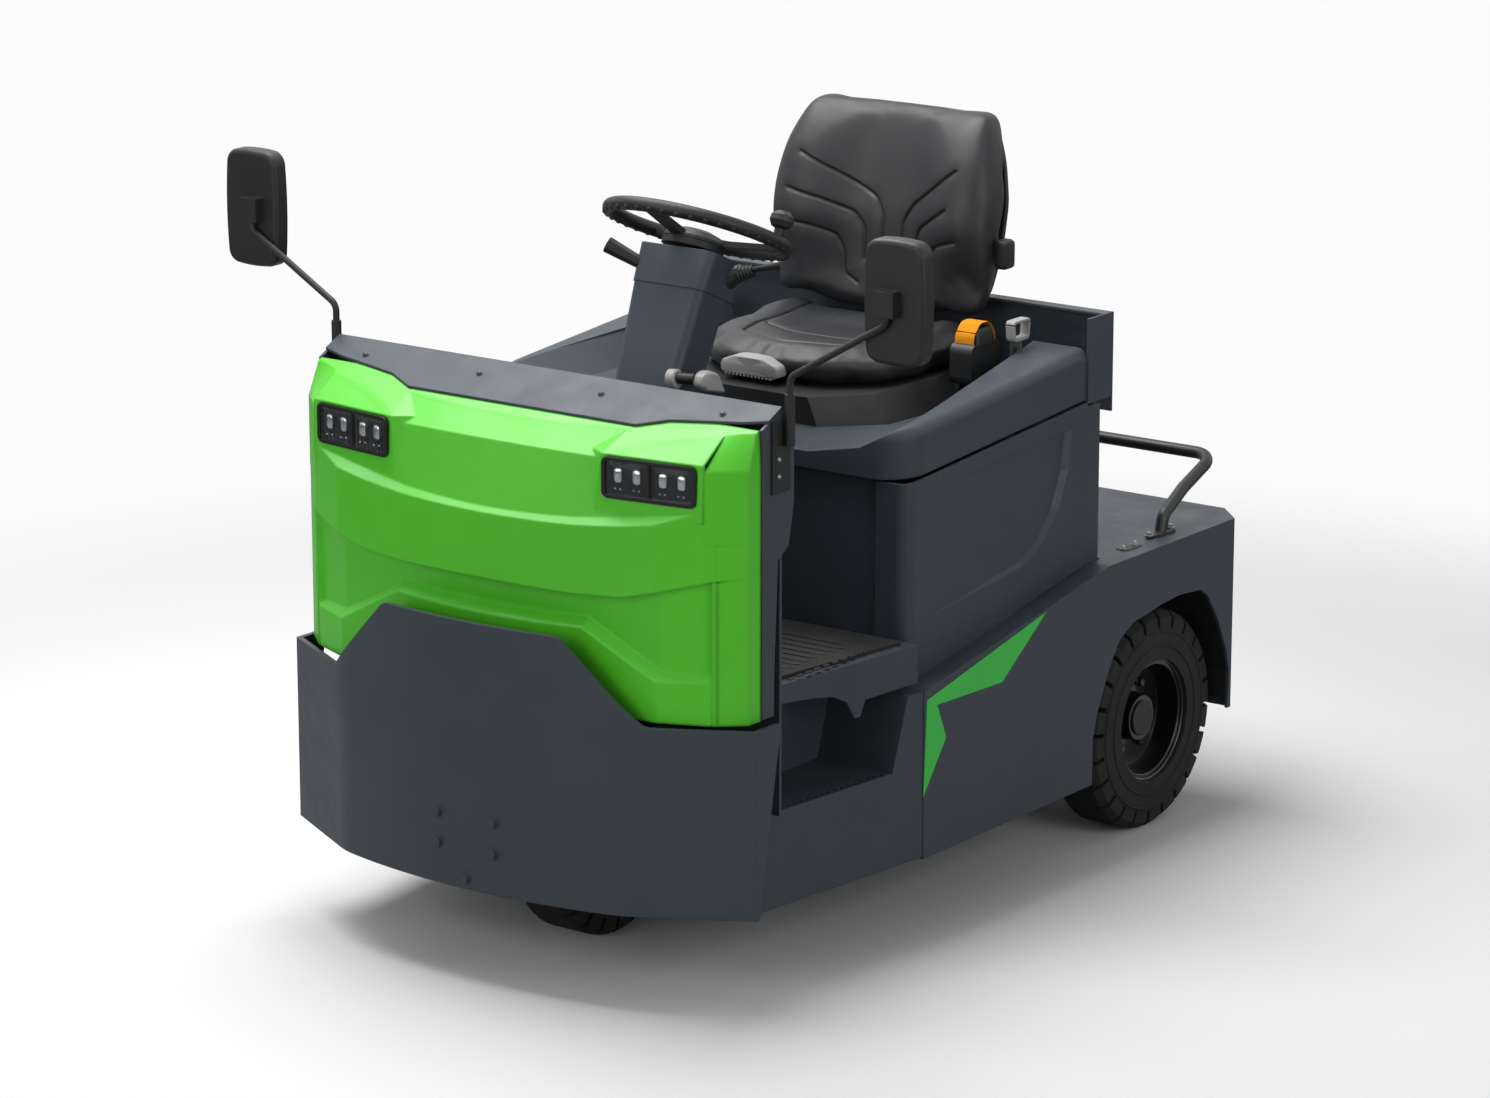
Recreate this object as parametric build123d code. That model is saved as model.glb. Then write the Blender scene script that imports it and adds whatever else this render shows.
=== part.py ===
from build123d import *

import os
from math import cos, hypot, pi, radians, sin, sqrt

# Electric tow tractor with three wheels, a driver's seat over the battery and a flat rear deck.
# Millimetres. x is across the machine (plus is the driver's left), y is along it (minus is ahead)
# and z is up from the floor. While drawing, y = 0 is the bolt line of the dash plate. The finished
# pieces are moved along y, so that the part's origin lies under the middle of its box.

# Driving dimensions
BODY_HALF = 515.0            # half the width over the side skirts
WHEELBASE = 1105.0
FRONT_AXLE_Y = 151.0
BUMPER_FRONT_Y = -221.0
REAR_OVERHANG = 294.0        # rear axle to the deck's rear edge
COUPLING_REACH = 79.0        # deck's rear edge to the coupling's end
RAIL_TOP = 500.0             # top of the frame rails
FLOOR_RISE = 48.0            # floor plate above the rails
DECK_RISE = 65.0             # deck above the rails
BATTERY_HALF = 470.0         # half the width of the battery body
PLATE = 6.0                  # body sheet
SHEET = 5.0                  # thinner sheet of the battery's housing
RUNNING_GAP = 0.3            # shaft in its bore

# Places that follow from them
REAR_AXLE_Y = FRONT_AXLE_Y + WHEELBASE
DECK_REAR_Y = REAR_AXLE_Y + REAR_OVERHANG
COUPLING_REAR_Y = DECK_REAR_Y + COUPLING_REACH
FLOOR_Z = RAIL_TOP + FLOOR_RISE
DECK_Z = RAIL_TOP + DECK_RISE
BOLT_HEAD_H = 7.0            # bumper bolts, the foremost point
MID_Y = (BUMPER_FRONT_Y - BOLT_HEAD_H + COUPLING_REAR_Y) / 2
FAR = 60.0                   # how far a cutting block runs past what it cuts


# Small drawing aids
def block(x0, x1, y0, y1, z0, z1):
    """A box between two corners."""
    return Pos((x0 + x1) / 2, (y0 + y1) / 2, (z0 + z1) / 2) * Box(x1 - x0, y1 - y0, z1 - z0)


def outline(points, radius=0):
    """A closed outline, its corners rounded where a radius is given."""
    return FilletPolyline(*points, radius=radius, close=True) if radius else Polyline(*points, close=True)


def side_profile(points, x0, x1, radius=0):
    """A profile of (y, z) points carried across from x0 to x1."""
    return extrude(Plane.YZ.offset(x0) * make_face(outline(points, radius)), x1 - x0)


def front_profile(points, y0, y1, radius=0):
    """A profile of (x, z) points carried along from y0 to y1."""
    return extrude(Plane.XZ.offset(-y1) * make_face(outline(points, radius)), y1 - y0)


def plan_profile(points, z0, z1, radius=0):
    """A profile of (x, y) points carried up from z0 to z1."""
    return extrude(Plane.XY.offset(z0) * make_face(outline(points, radius)), z1 - z0)


def both_sides(points):
    """Left-hand points, (x, other), followed by their mirror images."""
    return list(points) + [(-x, other) for x, other in reversed(points)]


def rod(start, end, radius):
    """A round bar between two points."""
    line = Line(start, end)
    return extrude(Plane(origin=start, z_dir=line % 0) * Circle(radius), line.length)


def cross_rod(x0, x1, y, z, radius):
    """A round bar across the machine."""
    return rod((x0, y, z), (x1, y, z), radius)


def upright_rod(x, y, z0, z1, radius):
    """A round bar straight up."""
    return Pos(x, y, (z0 + z1) / 2) * Cylinder(radius, z1 - z0)


def turned(profile):
    """A closed profile of (radius, height) points turned about the upright axis."""
    return revolve(Plane.XZ * make_face(Polyline(*profile, close=True)), axis=Axis.Z)


def other_side(shape):
    """The same piece on the other side of the machine."""
    return mirror(shape, about=Plane.YZ)


# Bumper: a bent plate in front of the cover
BUMPER_T = 10.0
BUMPER_BOTTOM = 171.0
BUMPER_TOP = 655.0           # raised middle
BUMPER_SHOULDER = 508.0      # top edge at the sides
BUMPER_RISE_HALF = 192.0     # half the raised middle
BUMPER_RISE_RUN = 150.0      # length of each slope beside it
BUMPER_RISE_R = 25.0         # rounding where the top edge bends
BUMPER_ARC_HALF = 312.0      # half the curved front
BUMPER_ARC_SAG = 42.0
BUMPER_SWEEP = 155.0         # how far the plate's ends lie behind its middle
BUMPER_BEND_R = 180.0        # bend between the curved front and each end
BUMPER_SIDE_LEAN = 81.0      # how far the rear edge leans back over its height
BUMPER_BACK_Y = 40.0
BUMPER_CORNER_Y = BUMPER_FRONT_Y + BUMPER_SWEEP
BOLT_HEAD_R = 8.5
# Bumper bolts: x, z
BUMPER_BOLTS = [(-62, 302.5), (62, 302.5), (-62, 246), (62, 246), (0, 190)]


def bumper_plan():
    """The plan region behind the bumper's outer face."""
    left = (BUMPER_ARC_HALF, BUMPER_FRONT_Y + BUMPER_ARC_SAG)
    right = (-left[0], left[1])
    front = ThreePointArc(right, (0, BUMPER_FRONT_Y), left)
    rest = Polyline(left, (BODY_HALF, BUMPER_CORNER_Y), (BODY_HALF, BUMPER_BACK_Y), (-BODY_HALF, BUMPER_BACK_Y),
                    (-BODY_HALF, BUMPER_CORNER_Y), right)
    face = make_face(front + rest)
    bends = face.vertices().filter_by(lambda v: v.Y < BUMPER_CORNER_Y - 1)
    return fillet(bends, BUMPER_BEND_R)


def bumper():
    """Curved plate with a raised middle and five flanged bolts."""
    outer = bumper_plan()
    ring = extrude(Pos(0, 0, BUMPER_BOTTOM) * (outer - offset(outer, -BUMPER_T)), BUMPER_TOP - BUMPER_BOTTOM)
    wide = BODY_HALF + FAR
    low = BUMPER_RISE_HALF + BUMPER_RISE_RUN
    front_y = BUMPER_FRONT_Y - FAR
    shape = [(wide, BUMPER_BOTTOM - FAR), (wide, BUMPER_SHOULDER), (low, BUMPER_SHOULDER),
             (BUMPER_RISE_HALF, BUMPER_TOP)]
    ring &= front_profile(both_sides(shape), front_y, BUMPER_BACK_Y, radius=BUMPER_RISE_R)
    rear_y = BUMPER_CORNER_Y + BUMPER_T
    lean = BUMPER_SIDE_LEAN / (BUMPER_SHOULDER - BUMPER_BOTTOM)
    top_y = min(rear_y + lean * (BUMPER_TOP - BUMPER_BOTTOM), BUMPER_BACK_Y - BUMPER_T)
    ring &= side_profile([(front_y, BUMPER_BOTTOM), (rear_y, BUMPER_BOTTOM), (top_y, BUMPER_TOP),
                          (front_y, BUMPER_TOP)], -wide, wide)
    for x, z in BUMPER_BOLTS:
        ring += rod((x, BUMPER_FRONT_Y + BUMPER_T / 2, z), (x, BUMPER_FRONT_Y - BOLT_HEAD_H, z), BOLT_HEAD_R)
    return ring


# Frame rails and the cast block behind the bumper
RAIL_OUT = 334.0             # outer face of the rails, and inner wall of the step wells
RAIL_W = 60.0
RAIL_H = 100.0
RAIL_WALL = 6.0
RAIL_SETBACK = 71.0          # bumper's front to the rails' front end
FRONT_BLOCK_L = 136.0
TURNTABLE_T = 16.0           # steering head plate
STEM_R = 30.0
RAIL_IN = RAIL_OUT - RAIL_W
RAIL_BOTTOM = RAIL_TOP - RAIL_H
RAIL_FRONT_Y = BUMPER_FRONT_Y + RAIL_SETBACK
REAR_LEAN = 53.0             # how far the rear wall leans in at its foot
REAR_FOOT_Z = 188.0
REAR_PANEL_T = 8.0
REAR_FOOT_Y = DECK_REAR_Y - REAR_LEAN
RAIL_REAR_Y = REAR_FOOT_Y - REAR_PANEL_T


def front_block():
    """Cast block between the rails, curved to the bumper's back."""
    shape = block(-RAIL_IN, RAIL_IN, BUMPER_FRONT_Y, BUMPER_FRONT_Y + FRONT_BLOCK_L,
                  BUMPER_BOTTOM + BUMPER_T, RAIL_TOP)
    return shape & extrude(offset(bumper_plan(), -BUMPER_T), RAIL_TOP)


def rail(side):
    """Hollow frame rail, one side."""
    x0, x1 = sorted((side * RAIL_IN, side * RAIL_OUT))
    tube = block(x0, x1, RAIL_FRONT_Y, RAIL_REAR_Y, RAIL_BOTTOM, RAIL_TOP)
    return tube - block(x0 + RAIL_WALL, x1 - RAIL_WALL, RAIL_FRONT_Y - FAR, RAIL_REAR_Y + FAR,
                        RAIL_BOTTOM + RAIL_WALL, RAIL_TOP - RAIL_WALL)


TRAY_T = 8.0
BODY_RISE = 23.0             # battery body's lower edge above the rails
BODY_BOTTOM = RAIL_TOP + BODY_RISE
BODY_FRONT_Y = 445.0
BODY_TO_AXLE = 225.0         # battery body's rear edge to the rear axle
BODY_REAR_Y = REAR_AXLE_Y - BODY_TO_AXLE
FLOOR_REAR_Y = BODY_FRONT_Y - 7.0
BULKHEAD_Y = 34.0
TRAY_BOTTOM = BODY_BOTTOM - TRAY_T
SIDE_IN = BODY_HALF - PLATE  # inner face of the skirts
HEAD_Y = (RAIL_FRONT_Y + 10, BODY_FRONT_Y + 55)
# Cross members of the frame: half width, y0, y1, z0, z1
CROSS_MEMBERS = [
    (RAIL_IN, HEAD_Y[0], HEAD_Y[0] + 50, RAIL_BOTTOM, RAIL_TOP),
    (RAIL_OUT, BULKHEAD_Y + 26, BULKHEAD_Y + 56, RAIL_TOP, FLOOR_Z - PLATE),
    (RAIL_OUT, FLOOR_REAR_Y - 43, FLOOR_REAR_Y - 13, RAIL_TOP, FLOOR_Z - PLATE),
    (RAIL_IN, HEAD_Y[1] - 50, HEAD_Y[1], RAIL_BOTTOM, RAIL_TOP),
    (SIDE_IN, BODY_FRONT_Y + 10, BODY_FRONT_Y + 50, RAIL_BOTTOM, RAIL_BOTTOM + RAIL_H / 2),
    (BATTERY_HALF, BODY_FRONT_Y + 10, BODY_FRONT_Y + 50, RAIL_BOTTOM + RAIL_H / 2, TRAY_BOTTOM),
    (SIDE_IN, BODY_REAR_Y - 71, BODY_REAR_Y - 31, RAIL_TOP - 60, TRAY_BOTTOM),
    (SIDE_IN, BODY_REAR_Y + 79, BODY_REAR_Y + 109, RAIL_TOP, DECK_Z - PLATE),
    (RAIL_IN, RAIL_REAR_Y - 60, RAIL_REAR_Y, 250, RAIL_TOP),
    (SIDE_IN, RAIL_REAR_Y - 50, RAIL_REAR_Y - 20, RAIL_TOP, DECK_Z - PLATE),
]


def chassis_frame():
    """Two rails, cross members and the steering head plate."""
    frame = rail(-1) + rail(1)
    for half, y0, y1, z0, z1 in CROSS_MEMBERS:
        frame += block(-half, half, y0, y1, z0, z1)
    plate = block(-RAIL_IN, RAIL_IN, *HEAD_Y, RAIL_TOP - TURNTABLE_T, RAIL_TOP)
    plate -= upright_rod(0, FRONT_AXLE_Y, RAIL_TOP - 2 * TURNTABLE_T, RAIL_TOP + TURNTABLE_T, STEM_R + RUNNING_GAP)
    return frame + plate - front_block()


# Dash plate and front bulkhead
BULKHEAD_HALF = 490.0
DASH_SLOPE = 0.475
DASH_Z = 1034.0              # dash plate's top at its bolt line
DASH_T = 5.0
STEP_Z = 330.0               # top of the step tread
COVER_BACK_Y = -17.0
# Rear edge of each side post: y, z
POST_EDGE = [(18, 514), (18, 578), (29, 787), (60, 807), (75, 883), (75, 1000)]
# Plan of the dash plate's edge, left half: x, y
DASH_EDGE = [(BULKHEAD_HALF, 40), (BULKHEAD_HALF, 2), (BULKHEAD_HALF - 44, -10), (307, -32), (251, -56)]


def dash_z(y):
    """Height of the dash plate's top face."""
    return DASH_Z + DASH_SLOPE * y


def dash_plate():
    """Sloping top plate, notched at its front edge."""
    column = plan_profile(both_sides(DASH_EDGE), DASH_Z - 2 * FAR, DASH_Z + 2 * FAR)
    y0, y1 = DASH_EDGE[-1][1] - 1, DASH_EDGE[0][1] + 1
    slab = [(y0, dash_z(y0)), (y1, dash_z(y1)), (y1, dash_z(y1) - DASH_T), (y0, dash_z(y0) - DASH_T)]
    return column & side_profile(slab, -BULKHEAD_HALF, BULKHEAD_HALF)


def under_dash():
    """Everything below the dash plate."""
    y0, y1 = BUMPER_FRONT_Y, BULKHEAD_Y + FAR
    return side_profile([(y0, 0), (y1, 0), (y1, dash_z(y1) - DASH_T), (y0, dash_z(y0) - DASH_T)],
                        -BODY_HALF, BODY_HALF)


def front_bulkhead():
    """Upright sheet across the machine, with a shaped post on each side."""
    sheet = [(BULKHEAD_HALF, DASH_Z + FAR), (BULKHEAD_HALF, STEP_Z), (RAIL_OUT, STEP_Z), (RAIL_OUT, FLOOR_Z - PLATE)]
    shape = front_profile(both_sides(sheet), BULKHEAD_Y, BULKHEAD_Y + PLATE) & under_dash()
    post = [(COVER_BACK_Y, POST_EDGE[0][1])] + POST_EDGE
    post += [(DASH_EDGE[0][1], dash_z(DASH_EDGE[0][1]) - DASH_T), (COVER_BACK_Y, dash_z(COVER_BACK_Y) - DASH_T)]
    post = side_profile(post, BULKHEAD_HALF - PLATE, BULKHEAD_HALF)
    return shape + post + other_side(post)


# Front cover, the moulded green shell: bands that stand one in front of the other. Each level gives
# z, y at the middle, y at the arc's end, y at the lamp's corner, half width, y at the side's corner.
COVER_T = 5.0
COVER_ARC_X = 350.0
COVER_CORNER_X = 430.0
COVER_SIDE = BULKHEAD_HALF - 3.0
UPPER_LEVELS = [
    (830, -152, -117, -103, COVER_SIDE, -51),
    (957, -124, -106, -101, COVER_SIDE, -51),
    (1026, -31, -26, -22, COVER_SIDE - 3, -21),
]
BROW_LEVELS = [
    (700, -166, -141, -104, COVER_SIDE, -50),
    (960, -157, -133, -100, COVER_SIDE, -50),
]
PANEL_LEVELS = [
    (512, -128, -110, -84, COVER_SIDE, -50),
    (800, -146, -124, -88, COVER_SIDE, -50),
]
RIDGE_LEVELS = [
    (512, -148, -130, -96, COVER_SIDE, -50),
    (700, -160, -137, -100, COVER_SIDE, -50),
]
# Edges as they stand on the plane y = COVER_FACE_Y, left half: x, z
COVER_FACE_Y = -150.0
LIP_EDGE = [(520, 838), (440, 856), (280, 847), (190, 844)]      # top of the brow
LIP_RISE = 0.7               # how steeply the brow's shelf climbs to the rear
BELT_EDGE = [(520, 774), (440, 766), (290, 727), (180, 720)]     # underside of the brow
RIDGE_EDGE = [(520, 505), (440, 537), (352, 568), (205, 662)]    # frame round the bumper's top
RIDGE_RISE = 0.9
COLUMN_IN_X = 440.0          # upright columns at the cover's corners
COLUMN_DRAFT = 24.0
COLUMN_FACE_Y = -91.0
# Lamp pods: z, inner x at the back, inner x, inner y, outer y
POD_LEVELS = [
    (868, 172, 222, -132, -106),
    (968, 198, 232, -127, -102),
    (1024, 262, 268, -26, -22),
]
POD_SIDE = 22.0              # depth of a pod's slanting inner side


def cover_section(level, inset):
    """One closed plan section of the cover, moved in by inset."""
    z, middle_y, arc_y, corner_y, half, side_y = level
    back_y = COVER_BACK_Y + (FAR if inset else 0)
    left = (COVER_ARC_X - inset / 2, arc_y + inset)
    right = (-left[0], left[1])
    front = ThreePointArc(right, (0, middle_y + inset), left)
    corner_x, side = COVER_CORNER_X - inset, half - inset
    rest = Polyline(left, (corner_x, corner_y + inset), (side, side_y + inset / 2), (side, back_y), (-side, back_y),
                    (-side, side_y + inset / 2), (-corner_x, corner_y + inset), right)
    return Pos(0, 0, z) * make_face(front + rest)


def cover_band(levels, inset):
    """Ruled body through plan sections."""
    band = None
    for low, high in zip(levels, levels[1:]):
        piece = loft([cover_section(low, inset), cover_section(high, inset)], ruled=True)
        band = piece if band is None else band + piece
    return band


def below_edge(edge, rise, lift):
    """Everything under an edge of (x, z) points, its top climbing to the rear."""
    front_y = 2 * BUMPER_FRONT_Y
    foot = [(edge[0][0], 0)]
    points = foot + [(x, z + lift + rise * (front_y - COVER_FACE_Y)) for x, z in edge]
    face = Plane.XZ.offset(-front_y) * make_face(Polyline(*both_sides(points), close=True))
    return extrude(face, -front_y * hypot(1, rise), dir=(0, 1, rise))


def lamp_pod(inset):
    """Housing of the left lamp, its inner side sloping into the middle of the cover."""
    back_y = COVER_BACK_Y + (FAR if inset else 0)
    faces = []
    for z, back_x, inner_x, inner_y, outer_y in POD_LEVELS:
        side_y = min(inner_y + POD_SIDE, COVER_BACK_Y - 1)
        points = [(back_x + inset, back_y), (back_x + inset, side_y + inset), (inner_x + inset, inner_y + inset),
                  (COVER_CORNER_X, outer_y + inset), (COVER_CORNER_X, back_y)]
        faces.append(Pos(0, 0, z) * make_face(Polyline(*points, close=True)))
    return loft(faces[:2], ruled=True) + loft(faces[1:], ruled=True)


def corner_column(inset):
    """Upright outer corner of the cover, left side."""
    back_y = COVER_BACK_Y + (FAR if inset else 0)
    side = COVER_SIDE - inset
    points = [(COLUMN_IN_X - COLUMN_DRAFT + inset, back_y), (COLUMN_IN_X - COLUMN_DRAFT + inset, COLUMN_FACE_Y + 16),
              (COLUMN_IN_X + inset, COLUMN_FACE_Y + inset), (side, PANEL_LEVELS[0][5] + inset / 2), (side, back_y)]
    return plan_profile(points, PANEL_LEVELS[0][0], UPPER_LEVELS[0][0] + 10)


def cover_body(inset):
    """The cover's solid form, moved in by inset."""
    brow = cover_band(BROW_LEVELS, inset) & below_edge(LIP_EDGE, LIP_RISE, -inset)
    brow -= below_edge(BELT_EDGE, 0, inset)
    ridge = cover_band(RIDGE_LEVELS, inset) & below_edge(RIDGE_EDGE, RIDGE_RISE, -inset)
    body = cover_band(PANEL_LEVELS, inset) + cover_band(UPPER_LEVELS, inset) + brow + ridge
    for piece in (lamp_pod(inset), corner_column(inset)):
        body += piece + other_side(piece)
    if inset:
        body += Pos(0, 0, -FAR) * extrude(cover_section(RIDGE_LEVELS[0], inset), FAR, dir=(0, 0, 1))
    return body


# Lamps: twin-lens work lamps let into the pods
LAMP_INNER_X = 237.0
LAMP_OUTER_X = 418.0
LAMP_BOTTOM = 893.0
LAMP_TOP = 965.0
LAMP_DEPTH = 52.0
LAMP_FRONT_INNER_Y = -134.0
LAMP_FRONT_OUTER_Y = -109.0
LAMP_CORNER = 12.0
LAMP_RIM = 7.0               # bezel round the lenses
LAMP_RECESS = 5.0
LENS_GAP = 5.0


def lamp_body(spill, grow):
    """Rounded block of the left lamp, run forward by spill and grown on every side."""
    back_y = LAMP_FRONT_OUTER_Y + LAMP_DEPTH
    points = [(LAMP_INNER_X - grow, LAMP_FRONT_INNER_Y - spill), (LAMP_OUTER_X + grow, LAMP_FRONT_OUTER_Y - spill),
              (LAMP_OUTER_X + grow, back_y), (LAMP_INNER_X - grow, back_y)]
    shape = plan_profile(points, LAMP_BOTTOM - grow, LAMP_TOP + grow)
    return fillet(shape.edges().filter_by(Axis.Y), LAMP_CORNER + grow)


def lamp():
    """Left lamp with two square lens recesses."""
    shape = lamp_body(0, 0)
    middle_x = (LAMP_INNER_X + LAMP_OUTER_X) / 2
    slope = (LAMP_FRONT_OUTER_Y - LAMP_FRONT_INNER_Y) / (LAMP_OUTER_X - LAMP_INNER_X)
    spans = [(LAMP_INNER_X + LAMP_RIM, middle_x - LENS_GAP / 2), (middle_x + LENS_GAP / 2, LAMP_OUTER_X - LAMP_RIM)]
    for x0, x1 in spans:
        y0 = LAMP_FRONT_INNER_Y + slope * (x0 - LAMP_INNER_X)
        y1 = LAMP_FRONT_INNER_Y + slope * (x1 - LAMP_INNER_X)
        shape -= plan_profile([(x0, y0 - FAR), (x1, y1 - FAR), (x1, y1 + LAMP_RECESS), (x0, y0 + LAMP_RECESS)],
                              LAMP_BOTTOM + LAMP_RIM, LAMP_TOP - LAMP_RIM)
    return shape


def front_cover():
    """Moulded green cover, open at the back, with the lamps' openings."""
    inner = cover_body(COVER_T) & Pos(0, 0, -COVER_T) * under_dash()
    shell = (cover_body(0) & under_dash()) - inner
    opening = lamp_body(FAR, RUNNING_GAP)
    return shell - opening - other_side(opening)


# Mirrors on bent rods, held in front of their glass
MIRROR_REACH = 217.0         # bulkhead's side to the mirror's middle
MIRROR_Y = 68.0
MIRROR_Z = 1255.0
MIRROR_W = 114.0             # at the corners; the sides bow out beyond
MIRROR_H = 204.0
MIRROR_BOW = 5.0
MIRROR_T = 30.0
MIRROR_CORNER_R = 26.0
MIRROR_BACK_R = 9.0
MIRROR_ROD_R = 6.0
GLASS_RIM = 6.0
GLASS_SET = 2.0
BRACKET_T = 4.0
POST_OUT = 12.0              # rod's foot outside the bulkhead's side
POST_Y = 46.0
ROD_BEND_R = 22.0


def mirror_face(shrink):
    """Outline of the mirror, every side slightly bowed."""
    half_w, half_h = MIRROR_W / 2 - shrink, MIRROR_H / 2 - shrink
    corners = [(-half_w, -half_h), (half_w, -half_h), (half_w, half_h), (-half_w, half_h)]
    middles = [(0, -half_h - MIRROR_BOW), (half_w + MIRROR_BOW, 0), (0, half_h + MIRROR_BOW), (-half_w - MIRROR_BOW, 0)]
    sides = [ThreePointArc(start, middle, end)
             for start, middle, end in zip(corners, middles, corners[1:] + corners[:1])]
    face = make_face(Curve() + sides)
    return fillet(face.vertices(), MIRROR_CORNER_R - shrink)


def mirror_unit():
    """Left mirror with its rod, clamp and bracket."""
    post_x = BULKHEAD_HALF + POST_OUT
    mirror_x = BULKHEAD_HALF + MIRROR_REACH
    front_y = MIRROR_Y - MIRROR_T / 2
    rod_x, rod_y = mirror_x - 8, front_y - MIRROR_ROD_R - 2
    bracket = block(BULKHEAD_HALF, BULKHEAD_HALF + BRACKET_T, 8, POST_Y + 14, 905, 1030)
    socket = upright_rod(post_x, POST_Y, 985, 1075, MIRROR_ROD_R + 3)
    foot = (post_x, POST_Y, 1070)
    points = [foot, (post_x, POST_Y, 1104), (rod_x, rod_y, MIRROR_Z - 36), (rod_x, rod_y, MIRROR_Z + 16)]
    path = FilletPolyline(*points, radius=ROD_BEND_R)
    bar = sweep(Plane(origin=foot, z_dir=path % 0) * Circle(MIRROR_ROD_R), path=path)
    place = Plane(origin=(mirror_x, MIRROR_Y + MIRROR_T / 2, MIRROR_Z), x_dir=(1, 0, 0), z_dir=(0, -1, 0))
    shell = extrude(place * mirror_face(0), MIRROR_T)
    shell = fillet(shell.faces().sort_by(Axis.Y)[0].edges(), MIRROR_BACK_R)
    shell -= extrude(place * mirror_face(GLASS_RIM), GLASS_SET)
    clamp = block(rod_x - 20, rod_x + 20, rod_y - MIRROR_ROD_R - 5, front_y + 1, MIRROR_Z - 22, MIRROR_Z + 22)
    return bracket + socket + bar + shell + clamp


# Floor, mat and steps
FLARE_FRONT_X = 454.0        # floor's and step's edges flare outward to the rear
FLARE_REAR_X = 500.0
# Lower edge of the floor's side apron, with its hook: y, z
APRON_EDGE = [(40, 519), (166, 507), (215, 499), (250, 482), (272, 448), (286, 448), (299, 476), (420, 477)]
MAT_T = 7.0
MAT_INSET = 22.0
CONSOLE_HALF = 66.0          # steering console, at the floor
CONSOLE_REAR_Y = 236.0
SKIRT_BOTTOM = 156.0
STEP_FRONT_X = 464.0
STEP_REAR_X = BODY_HALF - 2.0
STEP_FRONT_Y = -16.0
WELL_TOP_Z = 463.0           # top of the box behind the step well
WELL_REAR_TOP_Y = 396.0      # the well's sloping rear wall
WELL_REAR_LOW_Y = 356.0
GRIP_HOLES = 17              # square holes along the tread's outer edge
GRIP_HOLE = 8.0


def floor_plan(shrink):
    """Plan of the floor, its sides flared."""
    y0 = BULKHEAD_Y + PLATE
    return both_sides([(FLARE_FRONT_X - shrink, y0 + shrink), (FLARE_REAR_X - shrink, FLOOR_REAR_Y - shrink)])


def floor_plate():
    """Floor with a side apron that has a hooked lower edge."""
    y0 = BULKHEAD_Y + PLATE
    lowest = min(z for _, z in APRON_EDGE)
    slab = plan_profile(floor_plan(0), lowest, FLOOR_Z)
    inner = [(FLARE_FRONT_X - PLATE, y0 - FAR), (FLARE_FRONT_X - PLATE, y0),
             (FLARE_REAR_X - PLATE, FLOOR_REAR_Y), (FLARE_REAR_X - PLATE, FLOOR_REAR_Y + FAR)]
    slab -= plan_profile(both_sides(inner), lowest - 1, FLOOR_Z - PLATE)
    below = [(y0 - FAR, 0), (y0 - FAR, APRON_EDGE[0][1])] + APRON_EDGE
    below += [(FLOOR_REAR_Y + FAR, APRON_EDGE[-1][1]), (FLOOR_REAR_Y + FAR, 0)]
    return slab - side_profile(below, -BODY_HALF, BODY_HALF)


def floor_mat():
    """Rubber mat, cut out round the steering console."""
    mat = plan_profile(floor_plan(MAT_INSET), FLOOR_Z, FLOOR_Z + MAT_T)
    return mat - block(-CONSOLE_HALF, CONSOLE_HALF, 0, CONSOLE_REAR_Y, FLOOR_Z, FLOOR_Z + 2 * MAT_T)


def step_sheet(shrink, points, x_in):
    """A side profile carried from x_in out to the step's flared side."""
    y0, y1 = STEP_FRONT_Y, FLOOR_REAR_Y
    plan = [(x_in, y0 - FAR), (STEP_FRONT_X - shrink, y0 - FAR), (STEP_FRONT_X - shrink, y0),
            (STEP_REAR_X - shrink, y1), (STEP_REAR_X - shrink, y1 + FAR), (x_in, y1 + FAR)]
    return side_profile(points, x_in, BODY_HALF + FAR) & plan_profile(plan, 0, DECK_Z)


def step():
    """Left step: outer skirt, perforated tread, sloping rear wall and inner wall."""
    y0, y1 = STEP_FRONT_Y, FLOOR_REAR_Y
    side = [(y0, SKIRT_BOTTOM), (y1, SKIRT_BOTTOM), (y1, WELL_TOP_Z), (WELL_REAR_TOP_Y, WELL_TOP_Z),
            (WELL_REAR_LOW_Y, STEP_Z), (y0, STEP_Z)]
    under = [(y0 - 1, SKIRT_BOTTOM - 1), (y1 + 1, SKIRT_BOTTOM - 1), (y1 + 1, WELL_TOP_Z - PLATE),
             (WELL_REAR_TOP_Y + PLATE, WELL_TOP_Z - PLATE), (WELL_REAR_LOW_Y + PLATE, STEP_Z - PLATE),
             (y0 - 1, STEP_Z - PLATE)]
    shape = step_sheet(0, side, RAIL_OUT) - step_sheet(PLATE, under, RAIL_OUT - 1)
    shape += block(RAIL_OUT, RAIL_OUT + PLATE, BULKHEAD_Y + PLATE, y1, STEP_Z, FLOOR_Z - PLATE)
    first, last = BULKHEAD_Y + 24, WELL_REAR_LOW_Y - 20
    for index in range(GRIP_HOLES):
        y = first + (last - first) * index / (GRIP_HOLES - 1)
        edge_x = STEP_FRONT_X + (STEP_REAR_X - STEP_FRONT_X) * (y - y0) / (y1 - y0)
        shape -= block(edge_x - 2 * GRIP_HOLE, edge_x - GRIP_HOLE, y - GRIP_HOLE / 2, y + GRIP_HOLE / 2,
                       STEP_Z - PLATE - 1, STEP_Z + 1)
    return shape


# Pedals: middle x, half width, height of the pad
PEDALS = [(-190, 45, 640), (-330, 32, 630)]
PEDAL_REACH = 70.0
PEDAL_T = 10.0
PEDAL_SHAFT_Z = 690.0


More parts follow.
